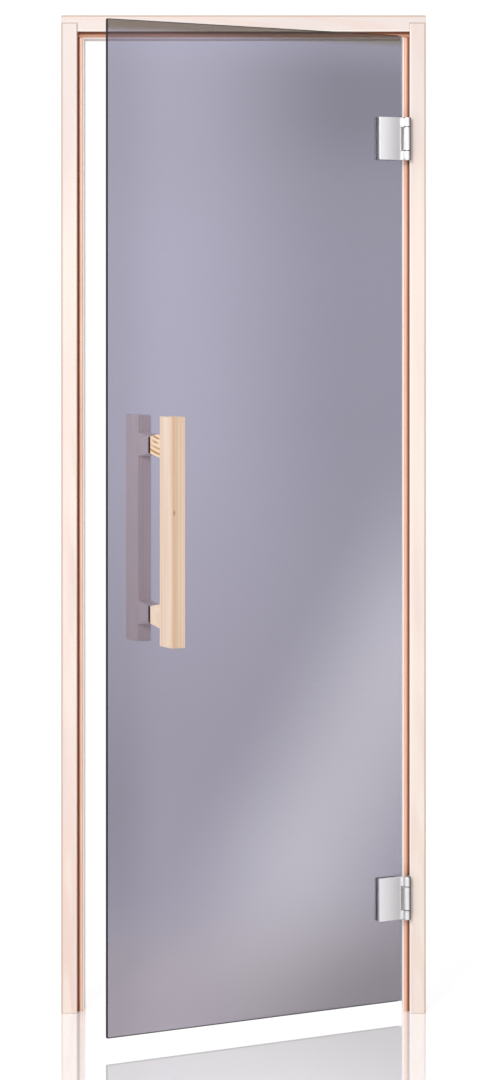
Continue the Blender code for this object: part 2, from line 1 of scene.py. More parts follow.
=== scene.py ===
"""Looks of the sauna door: finishes, small fasteners, floor, light and camera.

Metres, +Z up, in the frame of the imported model.  The leaf's pieces are finished in leaf
coordinates: measured from the hinge pins' axis, with the door closed.
"""
import json
import math

import bmesh
import bpy
from mathutils import Matrix, Vector

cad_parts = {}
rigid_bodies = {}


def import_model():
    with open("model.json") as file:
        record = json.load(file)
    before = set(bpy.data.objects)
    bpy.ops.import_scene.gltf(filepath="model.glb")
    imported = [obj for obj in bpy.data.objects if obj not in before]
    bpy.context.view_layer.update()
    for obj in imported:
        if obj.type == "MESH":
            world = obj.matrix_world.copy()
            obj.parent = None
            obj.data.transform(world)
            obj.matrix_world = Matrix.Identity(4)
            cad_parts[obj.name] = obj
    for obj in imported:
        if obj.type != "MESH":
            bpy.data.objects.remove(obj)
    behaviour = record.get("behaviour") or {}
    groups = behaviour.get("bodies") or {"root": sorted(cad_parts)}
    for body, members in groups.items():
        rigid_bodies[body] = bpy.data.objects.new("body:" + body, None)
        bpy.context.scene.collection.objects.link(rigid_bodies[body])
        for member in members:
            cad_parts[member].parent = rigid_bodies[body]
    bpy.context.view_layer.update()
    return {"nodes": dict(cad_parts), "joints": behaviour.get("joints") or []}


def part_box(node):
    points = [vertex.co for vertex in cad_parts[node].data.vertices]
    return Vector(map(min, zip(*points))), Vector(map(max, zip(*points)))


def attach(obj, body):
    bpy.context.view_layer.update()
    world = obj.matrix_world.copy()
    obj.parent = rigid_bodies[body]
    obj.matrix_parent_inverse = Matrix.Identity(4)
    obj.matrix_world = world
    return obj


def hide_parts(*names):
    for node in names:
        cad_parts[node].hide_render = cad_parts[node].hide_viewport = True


for leftover in list(bpy.data.objects):
    bpy.data.objects.remove(leftover, do_unlink=True)
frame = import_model()

# Places read from the frame
SWING = frame["joints"][0]
PIN = Vector((SWING["pos_m"][0], SWING["pos_m"][1], 0.0))
DOOR_ANGLE = -math.radians(SWING["range_deg"][0])
LEAF = "door_leaf"
POSTS = "frame"
STRIKE_WALL_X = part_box("strike_jamb")[0].x
HINGE_WALL_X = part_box("hinge_jamb")[1].x
FRONT_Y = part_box("head")[0].y
HEAD_TOP_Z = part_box("head")[1].z
LAP_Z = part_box("hinge_jamb")[1].z
SEAT_GAP = 0.0003
HINGE_REBATE_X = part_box("seal_hinge_side")[1].x + SEAT_GAP
STRIKE_REBATE_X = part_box("seal_strike_side")[0].x - SEAT_GAP
HEAD_REBATE_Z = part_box("seal_head")[1].z + SEAT_GAP
STOP_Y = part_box("seal_head")[1].y + SEAT_GAP
DOOR_MIDDLE_X = (STRIKE_WALL_X + HINGE_WALL_X) / 2

# Photograph: its height, horizon and focal length in pixels, and where the camera stood
PHOTO_HEIGHT = 1080
HORIZON_Y = 337.0
FOCAL_PIXELS = 2828.0
CAMERA_PLACE = Vector((DOOR_MIDDLE_X, FRONT_Y - 5.355, 1.281))
SENSOR = 36.0

# Light, as shares of full white on a surface that faces it
AMBIENT = 0.65
AMBIENT_LEAN = 0.20
AMBIENT_WAY = Vector((-0.93, 0.0, 0.36))
KEY = 0.34
KEY_PLACE = (-2.0, -5.6, 3.2)
KEY_AIM = (-0.3, 0.0, 1.0)
KEY_SIZE = 0.9
GLOSS_LEAN = 0.30
WHITE = (1.0, 1.0, 1.0, 1.0)

# Soft box mirrored in the glass: its middle line there, in leaf coordinates, its half width on
# each side of that line, where its light rises and fades as shares of the line, and how far
# away it stands, as a share of the way from the mirrored camera
SHEEN_START = Vector((-0.0186, 0.014, 0.6513))
SHEEN_END = Vector((-0.3403, 0.014, 0.1179))
SHEEN_ABOVE = 0.320
SHEEN_BELOW = 0.265
SHEEN_RISE = (-0.80, -0.05)
SHEEN_FADE = (0.60, 1.24)
SHEEN_REACH = 1.024
SHEEN_STRENGTH = 4.4

# Floor: its glow towards the camera, its gloss as a multiple of plain Fresnel gloss and at most,
# how far from the door it turns to plain white, and the noise values that would give it no
# roughness and full roughness
FLOOR_SIZE = 60.0
FLOOR_COLOUR = (0.93, 0.925, 0.935, 1.0)
FLOOR_LIFT = 0.27
FLOOR_GLOSS = 1.9
FLOOR_GLOSS_MOST = 0.68
FLOOR_NEAR, FLOOR_FAR = 1.6, 5.0
FLOOR_IOR = 1.5
FLOOR_GRAIN_WAVES = (3.0, 3.0, 3.0)
FLOOR_ROUGHNESS = (-1.0, 12.0)


class Nodes:
    """A node tree with short calls for the nodes that the finishes share."""

    def __init__(self, tree):
        self.nodes = tree.nodes
        self.links = tree.links

    def add(self, kind, inputs=None, **settings):
        node = self.nodes.new(kind)
        for name, value in settings.items():
            setattr(node, name, value)
        for name, value in (inputs or {}).items():
            self.feed(node.inputs[name], value)
        return node

    def feed(self, socket, value):
        """Link a socket to an output, or set it to a plain value."""
        if isinstance(value, bpy.types.NodeSocket):
            self.links.new(value, socket)
        else:
            socket.default_value = value

    def math(self, operation, first, second=0.0, clamp=False):
        node = self.add("ShaderNodeMath", operation=operation, use_clamp=clamp)
        self.feed(node.inputs[0], first)
        self.feed(node.inputs[1], second)
        return node.outputs[0]

    def step(self, value, low, high):
        """0 below low, 1 above high, and smooth between; falls where low is above high."""
        inputs = {"Value": value, "From Min": low, "From Max": high}
        return self.add("ShaderNodeMapRange", inputs, interpolation_type="SMOOTHSTEP").outputs[0]

    def near(self, value, place, width):
        """1 at a place, falling smoothly to 0 at a width from it."""
        apart = self.math("ABSOLUTE", self.math("SUBTRACT", value, place))
        return self.step(apart, width, 0.0)

    def product(self, *factors):
        result = factors[0]
        for factor in factors[1:]:
            result = self.math("MULTIPLY", result, factor)
        return result

    def sum(self, *terms):
        result = terms[0]
        for term in terms[1:]:
            result = self.math("ADD", result, term)
        return result

    def mix(self, factor, first, second, blend="MIX"):
        node = self.add("ShaderNodeMix", data_type="RGBA", blend_type=blend, clamp_factor=True)
        self.feed(node.inputs["Factor"], factor)
        self.feed(node.inputs["A"], first)
        self.feed(node.inputs["B"], second)
        return node.outputs["Result"]

    def shaders(self, factor, first, second):
        node = self.add("ShaderNodeMixShader")
        self.feed(node.inputs[0], factor)
        self.feed(node.inputs[1], first)
        self.feed(node.inputs[2], second)
        return node.outputs[0]

    def noise(self, vector, scale, detail=2.0, roughness=0.5, distortion=0.0):
        """Noise whose scale, in waves a metre, may differ along the three axes."""
        stretched = self.add("ShaderNodeMapping", {"Vector": vector, "Scale": scale}).outputs[0]
        inputs = {
            "Vector": stretched,
            "Scale": 1.0,
            "Detail": detail,
            "Roughness": roughness,
            "Distortion": distortion,
        }
        return self.add("ShaderNodeTexNoise", inputs).outputs["Fac"]

    def dot(self, vector, fixed):
        node = self.add("ShaderNodeVectorMath", operation="DOT_PRODUCT")
        self.feed(node.inputs[0], vector)
        self.feed(node.inputs[1], fixed)
        return node.outputs["Value"]

    def bump(self, height, strength, distance):
        inputs = {"Height": height, "Strength": strength, "Distance": distance}
        return self.add("ShaderNodeBump", inputs).outputs["Normal"]

    def place(self):
        """Where a point is at rest, in the row frame."""
        return self.add("ShaderNodeTexCoord").outputs["Object"]

    def leaf_place(self):
        """Where a point is in leaf coordinates."""
        turn = Matrix.Rotation(-DOOR_ANGLE, 3, "Z")
        inputs = {
            "Vector": self.place(),
            "Location": turn @ -PIN,
            "Rotation": (0.0, 0.0, -DOOR_ANGLE),
        }
        return self.add("ShaderNodeMapping", inputs).outputs[0]

    def parts(self, vector):
        node = self.add("ShaderNodeSeparateXYZ", {"Vector": vector})
        return node.outputs["X"], node.outputs["Y"], node.outputs["Z"]

    def seen_ray(self):
        """1 for rays from the camera, and for those that gloss or glass sends on."""
        path = self.add("ShaderNodeLightPath").outputs
        gloss = self.math("ADD", path["Is Camera Ray"], path["Is Glossy Ray"])
        return self.math("ADD", gloss, path["Is Transmission Ray"], clamp=True)


def new_finish(name, roughness, metallic=0.0):
    """A material with its node calls and its main shader."""
    material = bpy.data.materials.new(name)
    material.use_nodes = True
    nodes = Nodes(material.node_tree)
    shader = material.node_tree.nodes["Principled BSDF"]
    shader.inputs["Roughness"].default_value = roughness
    shader.inputs["Metallic"].default_value = metallic
    return material, nodes, shader


def rgb(red, green, blue):
    return (red, green, blue, 1.0)


def leaf_to_row(place):
    """Where a place in leaf coordinates is at rest."""
    return PIN + Matrix.Rotation(DOOR_ANGLE, 3, "Z") @ place


# Wood of the frame

FRAME_HIGH = rgb(0.805, 0.705, 0.670)
FRAME_MIDDLE = rgb(0.925, 0.785, 0.710)
FRAME_LOW = rgb(0.890, 0.690, 0.610)
FRAME_CREAM = rgb(0.940, 0.825, 0.735)
FRAME_ROSE = rgb(0.870, 0.725, 0.680)
FRAME_GRAIN = rgb(0.830, 0.640, 0.540)
FRAME_STOP_PAINTED_LIGHT = rgb(1.000, 0.950, 0.940)
FRAME_PAINTED_SHADE = rgb(0.420, 0.135, 0.035)
FRAME_EDGE_SHADE_AND_JOINT = rgb(0.560, 0.350, 0.245)
FRAME_REBATE_HIGHLIGHT = rgb(1.000, 0.975, 0.900)

# Heights between which the foot's colour ends, and between which the top's sets in; the pinker
# foot and the darker top are partly the wood's own tone and partly painted shade
FOOT_Z = (0.05, 0.75)
TOP_Z = (1.40, 1.82)

# Noise in the wood, in waves a metre across and along the grain
DRIFT_WAVES = (34.0, 3.2)
RING_FADE_WAVES = (12.0, 1.1)
FIBRE_WAVES = (900.0, 9.0)

# Noise values between which each colour sets in, and those that would give the wood no roughness
# and full roughness; strength and depth of its relief
CREAM_DRIFT = (0.50, 0.62)
ROSE_DRIFT = (0.48, 0.36)
LATE_RING = (0.45, 1.0)
RING_FADE = (0.35, 0.60)
DARK_FIBRE = (0.45, 0.8)
FRAME_ROUGHNESS = (-1.1, 1.9)
FRAME_RELIEF = (0.25, 0.0002)

# Growth rings: their spacing, how far their pith drifts back for each metre along the member,
# and their form, which is stretch along the grain, wander and the scale of the wander
FRAME_RINGS = 0.0065
FIGURE_LEAN = 0.030
FRAME_RING_FORM = (0.05, 3.0, 0.2)
RING_TURN = math.pi / 10

# Widths of the marks along a member's edges and joints
CORNER_WIDTH = 0.0008
REBATE_HIGHLIGHT_WIDTH = 0.0042
EDGE_WIDTH = 0.0044
LAP_WIDTH = 0.0012
LAP_END_WIDTH = 0.0011
LAP_BLEND = 0.0006

# Depths between which the marks fade behind the front; where the stop's painted light sets in
# before its face and fades behind it; and where the painted shade in the rebate's corner sets in
# behind the front, is full before the stop and ends behind it
FRONT_FADE = (0.004, 0.001)
STOP_START, STOP_END = 0.0012, (0.004, 0.002)
CORNER_START, CORNER_FULL, CORNER_END = 0.006, 0.004, 0.001

# How much of each mark covers the wood under it
TOP_SHARE = 0.80
DRIFT_SHARE = 0.80
RING_SHARE = 0.34
FIBRE_SHARE = 0.10
STOP_SHARE = 0.95
CORNER_SHARE = 0.9
REBATE_HIGHLIGHT_SHARE = 0.9
LAP_SHARE = 0.45

# Pith of each member; width of the painted shadow on the front of the strike jamb beside its
# rebate, and the share of that width that fades
HINGE_JAMB_PITH = (0.004, 0.030, 0.0)
STRIKE_JAMB_PITH = (-0.662, 0.020, 0.0)
HEAD_PITH = (0.0, 0.010, 1.868)
LIP_SHADOW_WIDTH = 0.0014
LIP_SHADOW_FADE = 0.4


def rings(nodes, place, axis, pith, spacing, form, lean=0.0):
    """Growth rings round a pith that runs along an axis; 0 in early wood, 1 in late wood."""
    stretch, wander, wander_scale = form
    moved = nodes.add("ShaderNodeVectorMath", operation="SUBTRACT")
    nodes.feed(moved.inputs[0], place)
    nodes.feed(moved.inputs[1], pith)
    along = nodes.dot(place, [float(name == axis) for name in "XYZ"])
    drift = nodes.add("ShaderNodeCombineXYZ", {"Y": nodes.product(along, lean)}).outputs[0]
    leaned = nodes.add("ShaderNodeVectorMath", operation="SUBTRACT")
    nodes.feed(leaned.inputs[0], moved.outputs[0])
    nodes.feed(leaned.inputs[1], drift)
    scale = grain_scale(axis, 1.0, stretch)
    slow = nodes.add("ShaderNodeMapping", {"Vector": leaned.outputs[0], "Scale": scale}).outputs[0]
    inputs = {
        "Vector": slow,
        "Scale": RING_TURN / spacing,
        "Distortion": wander,
        "Detail": 2.0,
        "Detail Scale": wander_scale,
    }
    wave = nodes.add("ShaderNodeTexWave", inputs, wave_type="RINGS", rings_direction=axis)
    return wave.outputs["Fac"]


def grain_scale(axis, across, along):
    """Scales along X, Y and Z of what is grained along one of them."""
    return [along if name == axis else across for name in "XYZ"]


def frame_wood(nodes, place, axis, pith):
    """Colour of pale planed softwood, partly painted shade at top and foot, and its fibre's strength.
    """
    x, _, z = nodes.parts(place)
    # pinker foot: partly the wood's own tone, partly painted shade
    foot = nodes.mix(nodes.step(x, STRIKE_WALL_X, HINGE_WALL_X), FRAME_LOW, FRAME_MIDDLE)
    wood = nodes.mix(nodes.step(z, *FOOT_Z), foot, FRAME_MIDDLE)
    drift = nodes.noise(place, grain_scale(axis, *DRIFT_WAVES), detail=1.0)
    cream = nodes.product(nodes.step(drift, *CREAM_DRIFT), DRIFT_SHARE)
    wood = nodes.mix(cream, wood, FRAME_CREAM)
    rose = nodes.product(nodes.step(drift, *ROSE_DRIFT), DRIFT_SHARE)
    wood = nodes.mix(rose, wood, FRAME_ROSE)
    # darker top: partly the wood's own tone, partly painted shade
    wood = nodes.mix(nodes.product(nodes.step(z, *TOP_Z), TOP_SHARE), wood, FRAME_HIGH)
    ring = rings(nodes, place, axis, pith, FRAME_RINGS, FRAME_RING_FORM, FIGURE_LEAN)
    fade = nodes.noise(place, grain_scale(axis, *RING_FADE_WAVES), detail=0.0)
    late = nodes.product(nodes.step(ring, *LATE_RING), nodes.step(fade, *RING_FADE), RING_SHARE)
    wood = nodes.mix(late, wood, FRAME_GRAIN)
    fibre = nodes.noise(place, grain_scale(axis, *FIBRE_WAVES), detail=2.0)
    fine = nodes.product(nodes.step(fibre, *DARK_FIBRE), FIBRE_SHARE)
    return nodes.mix(fine, wood, FRAME_GRAIN), fibre


def lap_joint(nodes, axis, x, z):
    """1 along the lines where the head laps over the jambs."""
    if axis == "Z":
        return nodes.near(z, LAP_Z, LAP_WIDTH)
    ends = [nodes.near(x, end, LAP_END_WIDTH) for end in (STRIKE_REBATE_X, HINGE_REBATE_X)]
    return nodes.product(nodes.math("ADD", *ends), nodes.step(z, LAP_Z + LAP_BLEND, LAP_Z))


def mark_frame(nodes, place, wood, axis, wall, rebate, lip):
    """The wood's colour with painted light and shade at its stop, rebate and edges, and joint lines."""
    x, y, z = nodes.parts(place)
    across = z if axis == "X" else x
    behind = nodes.step(y, STOP_Y + STOP_END[0], STOP_Y + STOP_END[1])
    on_stop = nodes.product(nodes.step(y, STOP_Y - STOP_START, STOP_Y), behind)
    # painted light: the recessed stop painted near white to lift the shade in the rebate
    wood = nodes.mix(nodes.product(on_stop, STOP_SHARE), wood, FRAME_STOP_PAINTED_LIGHT)
    deep = nodes.step(y, FRONT_Y + CORNER_START, STOP_Y - CORNER_FULL)
    in_rebate = nodes.product(deep, nodes.step(y, STOP_Y + CORNER_END, STOP_Y))
    # painted shade: the rebate's side painted dark brown where it meets the stop
    corner = nodes.product(in_rebate, nodes.near(across, rebate, CORNER_WIDTH), CORNER_SHARE)
    wood = nodes.mix(corner, wood, FRAME_PAINTED_SHADE)
    at_front = nodes.step(y, FRONT_Y + FRONT_FADE[0], FRONT_Y + FRONT_FADE[1])
    # painted highlight along the front's edge at the rebate
    bright = nodes.product(at_front, nodes.near(across, rebate, REBATE_HIGHLIGHT_WIDTH), REBATE_HIGHLIGHT_SHARE)
    wood = nodes.mix(bright, wood, FRAME_REBATE_HIGHLIGHT)
    # painted shade: a tan line along the front's outer arris
    edge = nodes.product(at_front, nodes.near(across, wall, EDGE_WIDTH))
    wood = nodes.mix(edge, wood, FRAME_EDGE_SHADE_AND_JOINT)
    # painted shadow: a dark brown band on the front beside the rebate
    if lip:
        full = rebate - lip * (1.0 - LIP_SHADOW_FADE)
        lip_shadow = nodes.product(at_front, nodes.step(across, rebate - lip, full))
        wood = nodes.mix(lip_shadow, wood, FRAME_PAINTED_SHADE)
    # dark lines where the head laps over the jambs, in the same colour
    return nodes.mix(nodes.product(lap_joint(nodes, axis, x, z), LAP_SHARE), wood, FRAME_EDGE_SHADE_AND_JOINT)


def frame_finish(name, axis, wall, rebate, pith, lip=0.0):
    """Pale planed softwood of one frame member, grained along axis.

    wall and rebate are where its outer face and its rebate's edge lie across its width,
    and lip is how wide a painted shadow lies on the front beside the rebate.
    """
    material, nodes, shader = new_finish(name, 0.5)
    place = nodes.place()
    wood, fibre = frame_wood(nodes, place, axis, pith)
    colour = mark_frame(nodes, place, wood, axis, wall, rebate, lip)
    nodes.feed(shader.inputs["Base Color"], colour)
    nodes.feed(shader.inputs["Normal"], nodes.bump(fibre, *FRAME_RELIEF))
    nodes.feed(shader.inputs["Roughness"], nodes.step(fibre, *FRAME_ROUGHNESS))
    return material


# Wood of the handle

# Colours: early wood twice, then late wood
WARM_WOOD = (rgb(0.830, 0.635, 0.495), rgb(0.900, 0.725, 0.600), rgb(0.660, 0.440, 0.280))
# The inner bar and its standoffs use the same wood painted paler, as painted light
PAINTED_LIGHT_WOOD = (rgb(0.920, 0.825, 0.760), rgb(0.950, 0.875, 0.820), rgb(0.820, 0.680, 0.590))
STRIPED_WOOD = (rgb(0.900, 0.690, 0.490), rgb(0.930, 0.730, 0.550), rgb(0.540, 0.240, 0.075))
HANDLE_EDGE_HIGHLIGHT = rgb(0.930, 0.730, 0.520)
HANDLE_KNOT = rgb(0.300, 0.170, 0.090)

# Noise in the wood, in waves a metre across and along the grain
HANDLE_DRIFT_WAVES = (70.0, 2.0)
HANDLE_FADE_WAVES = (40.0, 1.5)
HANDLE_FIBRE_WAVES = (1100.0, 14.0)
STREAK_WAVES = (90.0, 3.0)
HANDLE_FIBRE_SHARE = 0.18

# Noise values and relief, as on the frame
PALE_DRIFT = (0.35, 0.65)
HANDLE_LATE_RING = (0.40, 0.90)
HANDLE_RING_FADE = (0.25, 0.6)
HANDLE_ROUGHNESS = (-1.0, 2.0)
HANDLE_RELIEF = (0.3, 0.0002)

# Growth rings: spacing in each piece and how much their late wood covers, their form as on the
# frame, and where the piths lie, across and behind the outer bar, or behind and above the
# striped standoff
OUTER_RINGS, INNER_RINGS, STRIPED_RINGS, PLAIN_RINGS = 0.0052, 0.0048, 0.0088, 0.0052
OUTER_LATE, INNER_LATE, STRIPED_LATE, PLAIN_LATE, PALE_LATE = 0.45, 0.6, 1.0, 0.15, 0.3
HANDLE_RING_FORM = (0.03, 1.6, 0.3)
OUTER_PITH_OFF = (-0.045, -0.050)
INNER_PITH_OFF = (-0.060, 0.160)
STRIPED_PITH_OFF = (-0.018, 0.200)
STANDOFF_PITH = (0.0, 0.10, 1.30)

# Marks on the outer bar's front: painted shade over the whole face, a streak of late wood, a
# painted highlight on its lit edge and a small knot
STREAK_OFF = 0.0055
STREAK_WIDTH = 0.0120
STREAK_WANDER = 0.012
STREAK_SHARE = 0.75
FRONT_SHADE_SHARE = 0.32
FRONT_DEPTH = (0.0026, 0.0006)
LIT_EDGE_WIDTH = (0.0042, 0.0012)
LIT_EDGE_SHARE = 0.8
KNOT_Z = 0.968
KNOT_RADIUS = (0.0028, 0.0006)
KNOT_STRETCH = (1.0, 1.0, 0.35)
KNOT_SHARE = 0.75


def mark_front(nodes, place, wood, late_wood, streak):
    """The outer bar's front: painted shade over it, a streak of late wood and a painted highlight."""
    x, y, _ = nodes.parts(place)
    low, high = leaf_box("handle_outer_bar")
    on_front = nodes.step(y, low.y + FRONT_DEPTH[0], low.y + FRONT_DEPTH[1])
    wander = nodes.noise(place, grain_scale("Z", *STREAK_WAVES), detail=1.0)
    aside = nodes.product(nodes.math("SUBTRACT", wander, 0.5), STREAK_WANDER)
    wandering_x = nodes.math("ADD", x, aside)
    # painted shade: the whole front face darkened with the late wood's colour
    wood = nodes.mix(nodes.product(on_front, FRONT_SHADE_SHARE), wood, late_wood)
    in_streak = nodes.near(wandering_x, streak, STREAK_WIDTH)
    wood = nodes.mix(nodes.product(on_front, in_streak, STREAK_SHARE), wood, late_wood)
    # painted highlight along the front's lit edge
    at_edge = nodes.step(x, high.x - LIT_EDGE_WIDTH[0], high.x - LIT_EDGE_WIDTH[1])
    return nodes.mix(nodes.product(on_front, at_edge, LIT_EDGE_SHARE), wood, HANDLE_EDGE_HIGHLIGHT)


def mark_knot(nodes, place, wood, knot):
    """The wood's colour with a small knot, longer along the bar than across it."""
    off = nodes.add("ShaderNodeVectorMath", operation="SUBTRACT")
    nodes.feed(off.inputs[0], place)
    nodes.feed(off.inputs[1], knot)
    shape = nodes.add("ShaderNodeVectorMath", operation="MULTIPLY")
    nodes.feed(shape.inputs[0], off.outputs[0])
    nodes.feed(shape.inputs[1], KNOT_STRETCH)
    length = nodes.add("ShaderNodeVectorMath", operation="LENGTH")
    nodes.feed(length.inputs[0], shape.outputs[0])
    spot = nodes.step(length.outputs["Value"], *KNOT_RADIUS)
    return nodes.mix(nodes.product(spot, KNOT_SHARE), wood, HANDLE_KNOT)


def handle_finish(name, axis, pith, spacing, woods, late_share, streak=None, knot=None):
    """Planed wood of the handle, with clear growth rings.

    streak is the place across the front face where late wood lies just under it.
    """
    early, pale, late_wood = woods
    material, nodes, shader = new_finish(name, 0.45)
    place = nodes.leaf_place()
    drift = nodes.noise(place, grain_scale(axis, *HANDLE_DRIFT_WAVES), detail=2.0)
    wood = nodes.mix(nodes.step(drift, *PALE_DRIFT), early, pale)
    ring = rings(nodes, place, axis, pith, spacing, HANDLE_RING_FORM)
    fade = nodes.noise(place, grain_scale(axis, *HANDLE_FADE_WAVES), detail=0.0)
    shown = nodes.product(nodes.step(fade, *HANDLE_RING_FADE), late_share)
    late = nodes.product(nodes.step(ring, *HANDLE_LATE_RING), shown)
    wood = nodes.mix(late, wood, late_wood)
    fibre = nodes.noise(place, grain_scale(axis, *HANDLE_FIBRE_WAVES), detail=2.0)
    fine = nodes.product(nodes.step(fibre, *DARK_FIBRE), HANDLE_FIBRE_SHARE)
    wood = nodes.mix(fine, wood, late_wood)
    if streak is not None:
        wood = mark_front(nodes, place, wood, late_wood, streak)
    if knot is not None:
        wood = mark_knot(nodes, place, wood, knot)
    nodes.feed(shader.inputs["Base Color"], wood)
    nodes.feed(shader.inputs["Normal"], nodes.bump(fibre, *HANDLE_RELIEF))
    nodes.feed(shader.inputs["Roughness"], nodes.step(fibre, *HANDLE_ROUGHNESS))
    return material


# Seals

SEAL_FIN_SHADE = rgb(0.210, 0.055, 0.018)
SEAL_SIDE_SHADE_AND_MOTTLE = rgb(0.690, 0.300, 0.165)
# Crown colours of the three seals: the same silicone painted lighter or darker for the light on each
SEAL_CROWN_LIT = rgb(0.980, 0.700, 0.560)
SEAL_CROWN_HALF_LIT = rgb(0.900, 0.560, 0.410)
SEAL_CROWN_SHADED = rgb(0.580, 0.300, 0.195)
SEAL_FIN_WIDTH = 0.0020
SEAL_FIN_BLEND = 0.0006
SEAL_CROWN_DEPTH = (0.0012, 0.0036)
SEAL_MOTTLE_WAVES = (60.0, 6.0)
SEAL_MOTTLE_SHARE = 0.25
SEAL_SPECK_WAVES = (1400.0, 1400.0, 1400.0)
SEAL_ROUGHNESS = 0.42
SEAL_RELIEF = (0.15, 0.0001)

# Noise values between which most of a noise's swing lies
MOST_NOISE = (0.3, 0.7)


def seal_finish(name, axis, wall, crown):
    """Tan silicone bulb on a fin painted dark as shade, its sides painted darker as shade.

    wall is where the rebate's side lies along axis; crown is its crown's colour, which is
    painted lighter or darker for the light on each seal.
    """
    material, nodes, shader = new_finish(name, SEAL_ROUGHNESS)
    place = nodes.place()
    x, y, z = nodes.parts(place)
    across = z if axis == "Z" else x
    from_wall = nodes.math("ABSOLUTE", nodes.math("SUBTRACT", across, wall))
    rise = nodes.step(y, STOP_Y - SEAL_CROWN_DEPTH[0], STOP_Y - SEAL_CROWN_DEPTH[1])
    # painted shade: the bulb's sides darker than its crown
    colour = nodes.mix(rise, SEAL_SIDE_SHADE_AND_MOTTLE, crown)
    quick, slow = SEAL_MOTTLE_WAVES
    mottle = nodes.noise(place, (quick, quick, slow) if axis == "X" else (slow, quick, quick))
    blotch = nodes.product(nodes.step(mottle, *MOST_NOISE), SEAL_MOTTLE_SHARE)
    # random mottle in the sides' colour
    colour = nodes.mix(blotch, colour, SEAL_SIDE_SHADE_AND_MOTTLE)
    in_bulb = nodes.step(from_wall, SEAL_FIN_WIDTH, SEAL_FIN_WIDTH + SEAL_FIN_BLEND)
    # painted shade: the fin painted dark brown
    colour = nodes.mix(in_bulb, SEAL_FIN_SHADE, colour)
    speck = nodes.noise(place, SEAL_SPECK_WAVES, detail=1.0)
    nodes.feed(shader.inputs["Base Color"], colour)
    nodes.feed(shader.inputs["Normal"], nodes.bump(speck, *SEAL_RELIEF))
    return material


# Metal and rubber

METAL_BRIGHT = rgb(0.810, 0.810, 0.825)
METAL_LIGHT = rgb(0.850, 0.835, 0.865)
METAL_GREY_SHADE_AND_MARKS = rgb(0.540, 0.528, 0.530)
METAL_LIMB_SHADE = rgb(0.090, 0.075, 0.070)
BRUSHED_WAVES = (2600.0, 2600.0, 60.0)
BRUSHED_MARKS = (0.4, 0.8)
BRUSHED_SHARE = 0.10
BRUSHED_RELIEF = (0.08, 0.0001)
METAL_ROUGHNESS = (-1.2, 2.6)

# Leaf coordinates where the plate sweeps out, and where the knuckle's far limb begins and is
# darkest in its painted shade, with how far it has to turn away for that; heights between which
# the metal is painted greyer towards the floor, as painted shade; and how wide the plate's rim of
# painted highlight is, and how far before its free edge the painted grey of its reflection begins
SWEEP_X = (-0.0150, -0.0105)
LIMB_X = (-0.0040, 0.0020)
LIMB_TURN = (0.02, 0.22)
LIMB_SHARE = 0.90
LOW_SHADE_Z = (1.2, 0.6)
LOW_SHADE_SHARE = 0.28
RIM = 0.0014
GREY_START = 0.002

STEEL_DARK = rgb(0.50, 0.50, 0.51)
STEEL_LIGHT = rgb(0.66, 0.66, 0.67)
TURNED_WAVES = (900.0, 900.0, 900.0)
TURNED_RELIEF = (0.10, 0.0001)

# Darkest and lightest colour of each rubber
GASKET_COLOURS = (rgb(0.25, 0.25, 0.26), rgb(0.35, 0.35, 0.36))
NYLON_COLOURS = (rgb(0.035, 0.035, 0.037), rgb(0.07, 0.07, 0.075))
PAD_COLOURS = (rgb(0.100, 0.058, 0.045), rgb(0.150, 0.090, 0.070))
RUBBER_WAVES = (700.0, 700.0, 700.0)
RUBBER_RELIEF = (0.2, 0.0001)


def metal_finish():
    """Satin nickel brushed along the door's height, with painted reflection and shade in its colour.

    It is painted greyer towards the swept knuckle and towards the floor, brought back to bright
    as painted highlight at the sweep and the rims, and painted dark on the knuckle's far limb.
    """
    material, nodes, shader = new_finish("satin_nickel", 0.30, metallic=1.0)
    place = nodes.leaf_place()
    x, _, z = nodes.parts(place)
    free_x = leaf_box("hinge_upper_front_plate")[0].x
    brushed = nodes.noise(place, BRUSHED_WAVES, detail=3.0)
    # painted reflection: the plate goes from light at its free edge to grey before its sweep
    colour = nodes.mix(nodes.step(x, free_x - GREY_START, SWEEP_X[1]), METAL_LIGHT, METAL_GREY_SHADE_AND_MARKS)
    # painted highlight: the sweep and the knuckle turn back to the bright colour
    colour = nodes.mix(nodes.step(x, *SWEEP_X), colour, METAL_BRIGHT)
    # painted shade: greyer towards the floor
    colour = nodes.mix(nodes.product(nodes.step(z, *LOW_SHADE_Z), LOW_SHADE_SHARE), colour, METAL_GREY_SHADE_AND_MARKS)
    # painted highlight on the rims at the free edge and at the plates' ends
    rim = nodes.near(x, free_x, RIM)
    for label in ("lower", "upper"):
        for end in leaf_box(f"hinge_{label}_front_plate"):
            rim = nodes.math("MAXIMUM", rim, nodes.near(z, end.z, RIM))
    colour = nodes.mix(rim, colour, METAL_BRIGHT)
    # real brush marks, in the same grey
    marks = nodes.product(nodes.step(brushed, *BRUSHED_MARKS), BRUSHED_SHARE)
    colour = nodes.mix(marks, colour, METAL_GREY_SHADE_AND_MARKS)
    facing = nodes.add("ShaderNodeLayerWeight", {"Blend": 0.5}).outputs["Facing"]
    # painted shade: the knuckle's far limb, where it turns away
    limb = nodes.product(nodes.step(facing, *LIMB_TURN), nodes.step(x, *LIMB_X))
    colour = nodes.mix(nodes.product(limb, LIMB_SHARE), colour, METAL_LIMB_SHADE)
    nodes.feed(shader.inputs["Base Color"], colour)
    nodes.feed(shader.inputs["Roughness"], nodes.step(brushed, *METAL_ROUGHNESS))
    nodes.feed(shader.inputs["Normal"], nodes.bump(brushed, *BRUSHED_RELIEF))
    return material


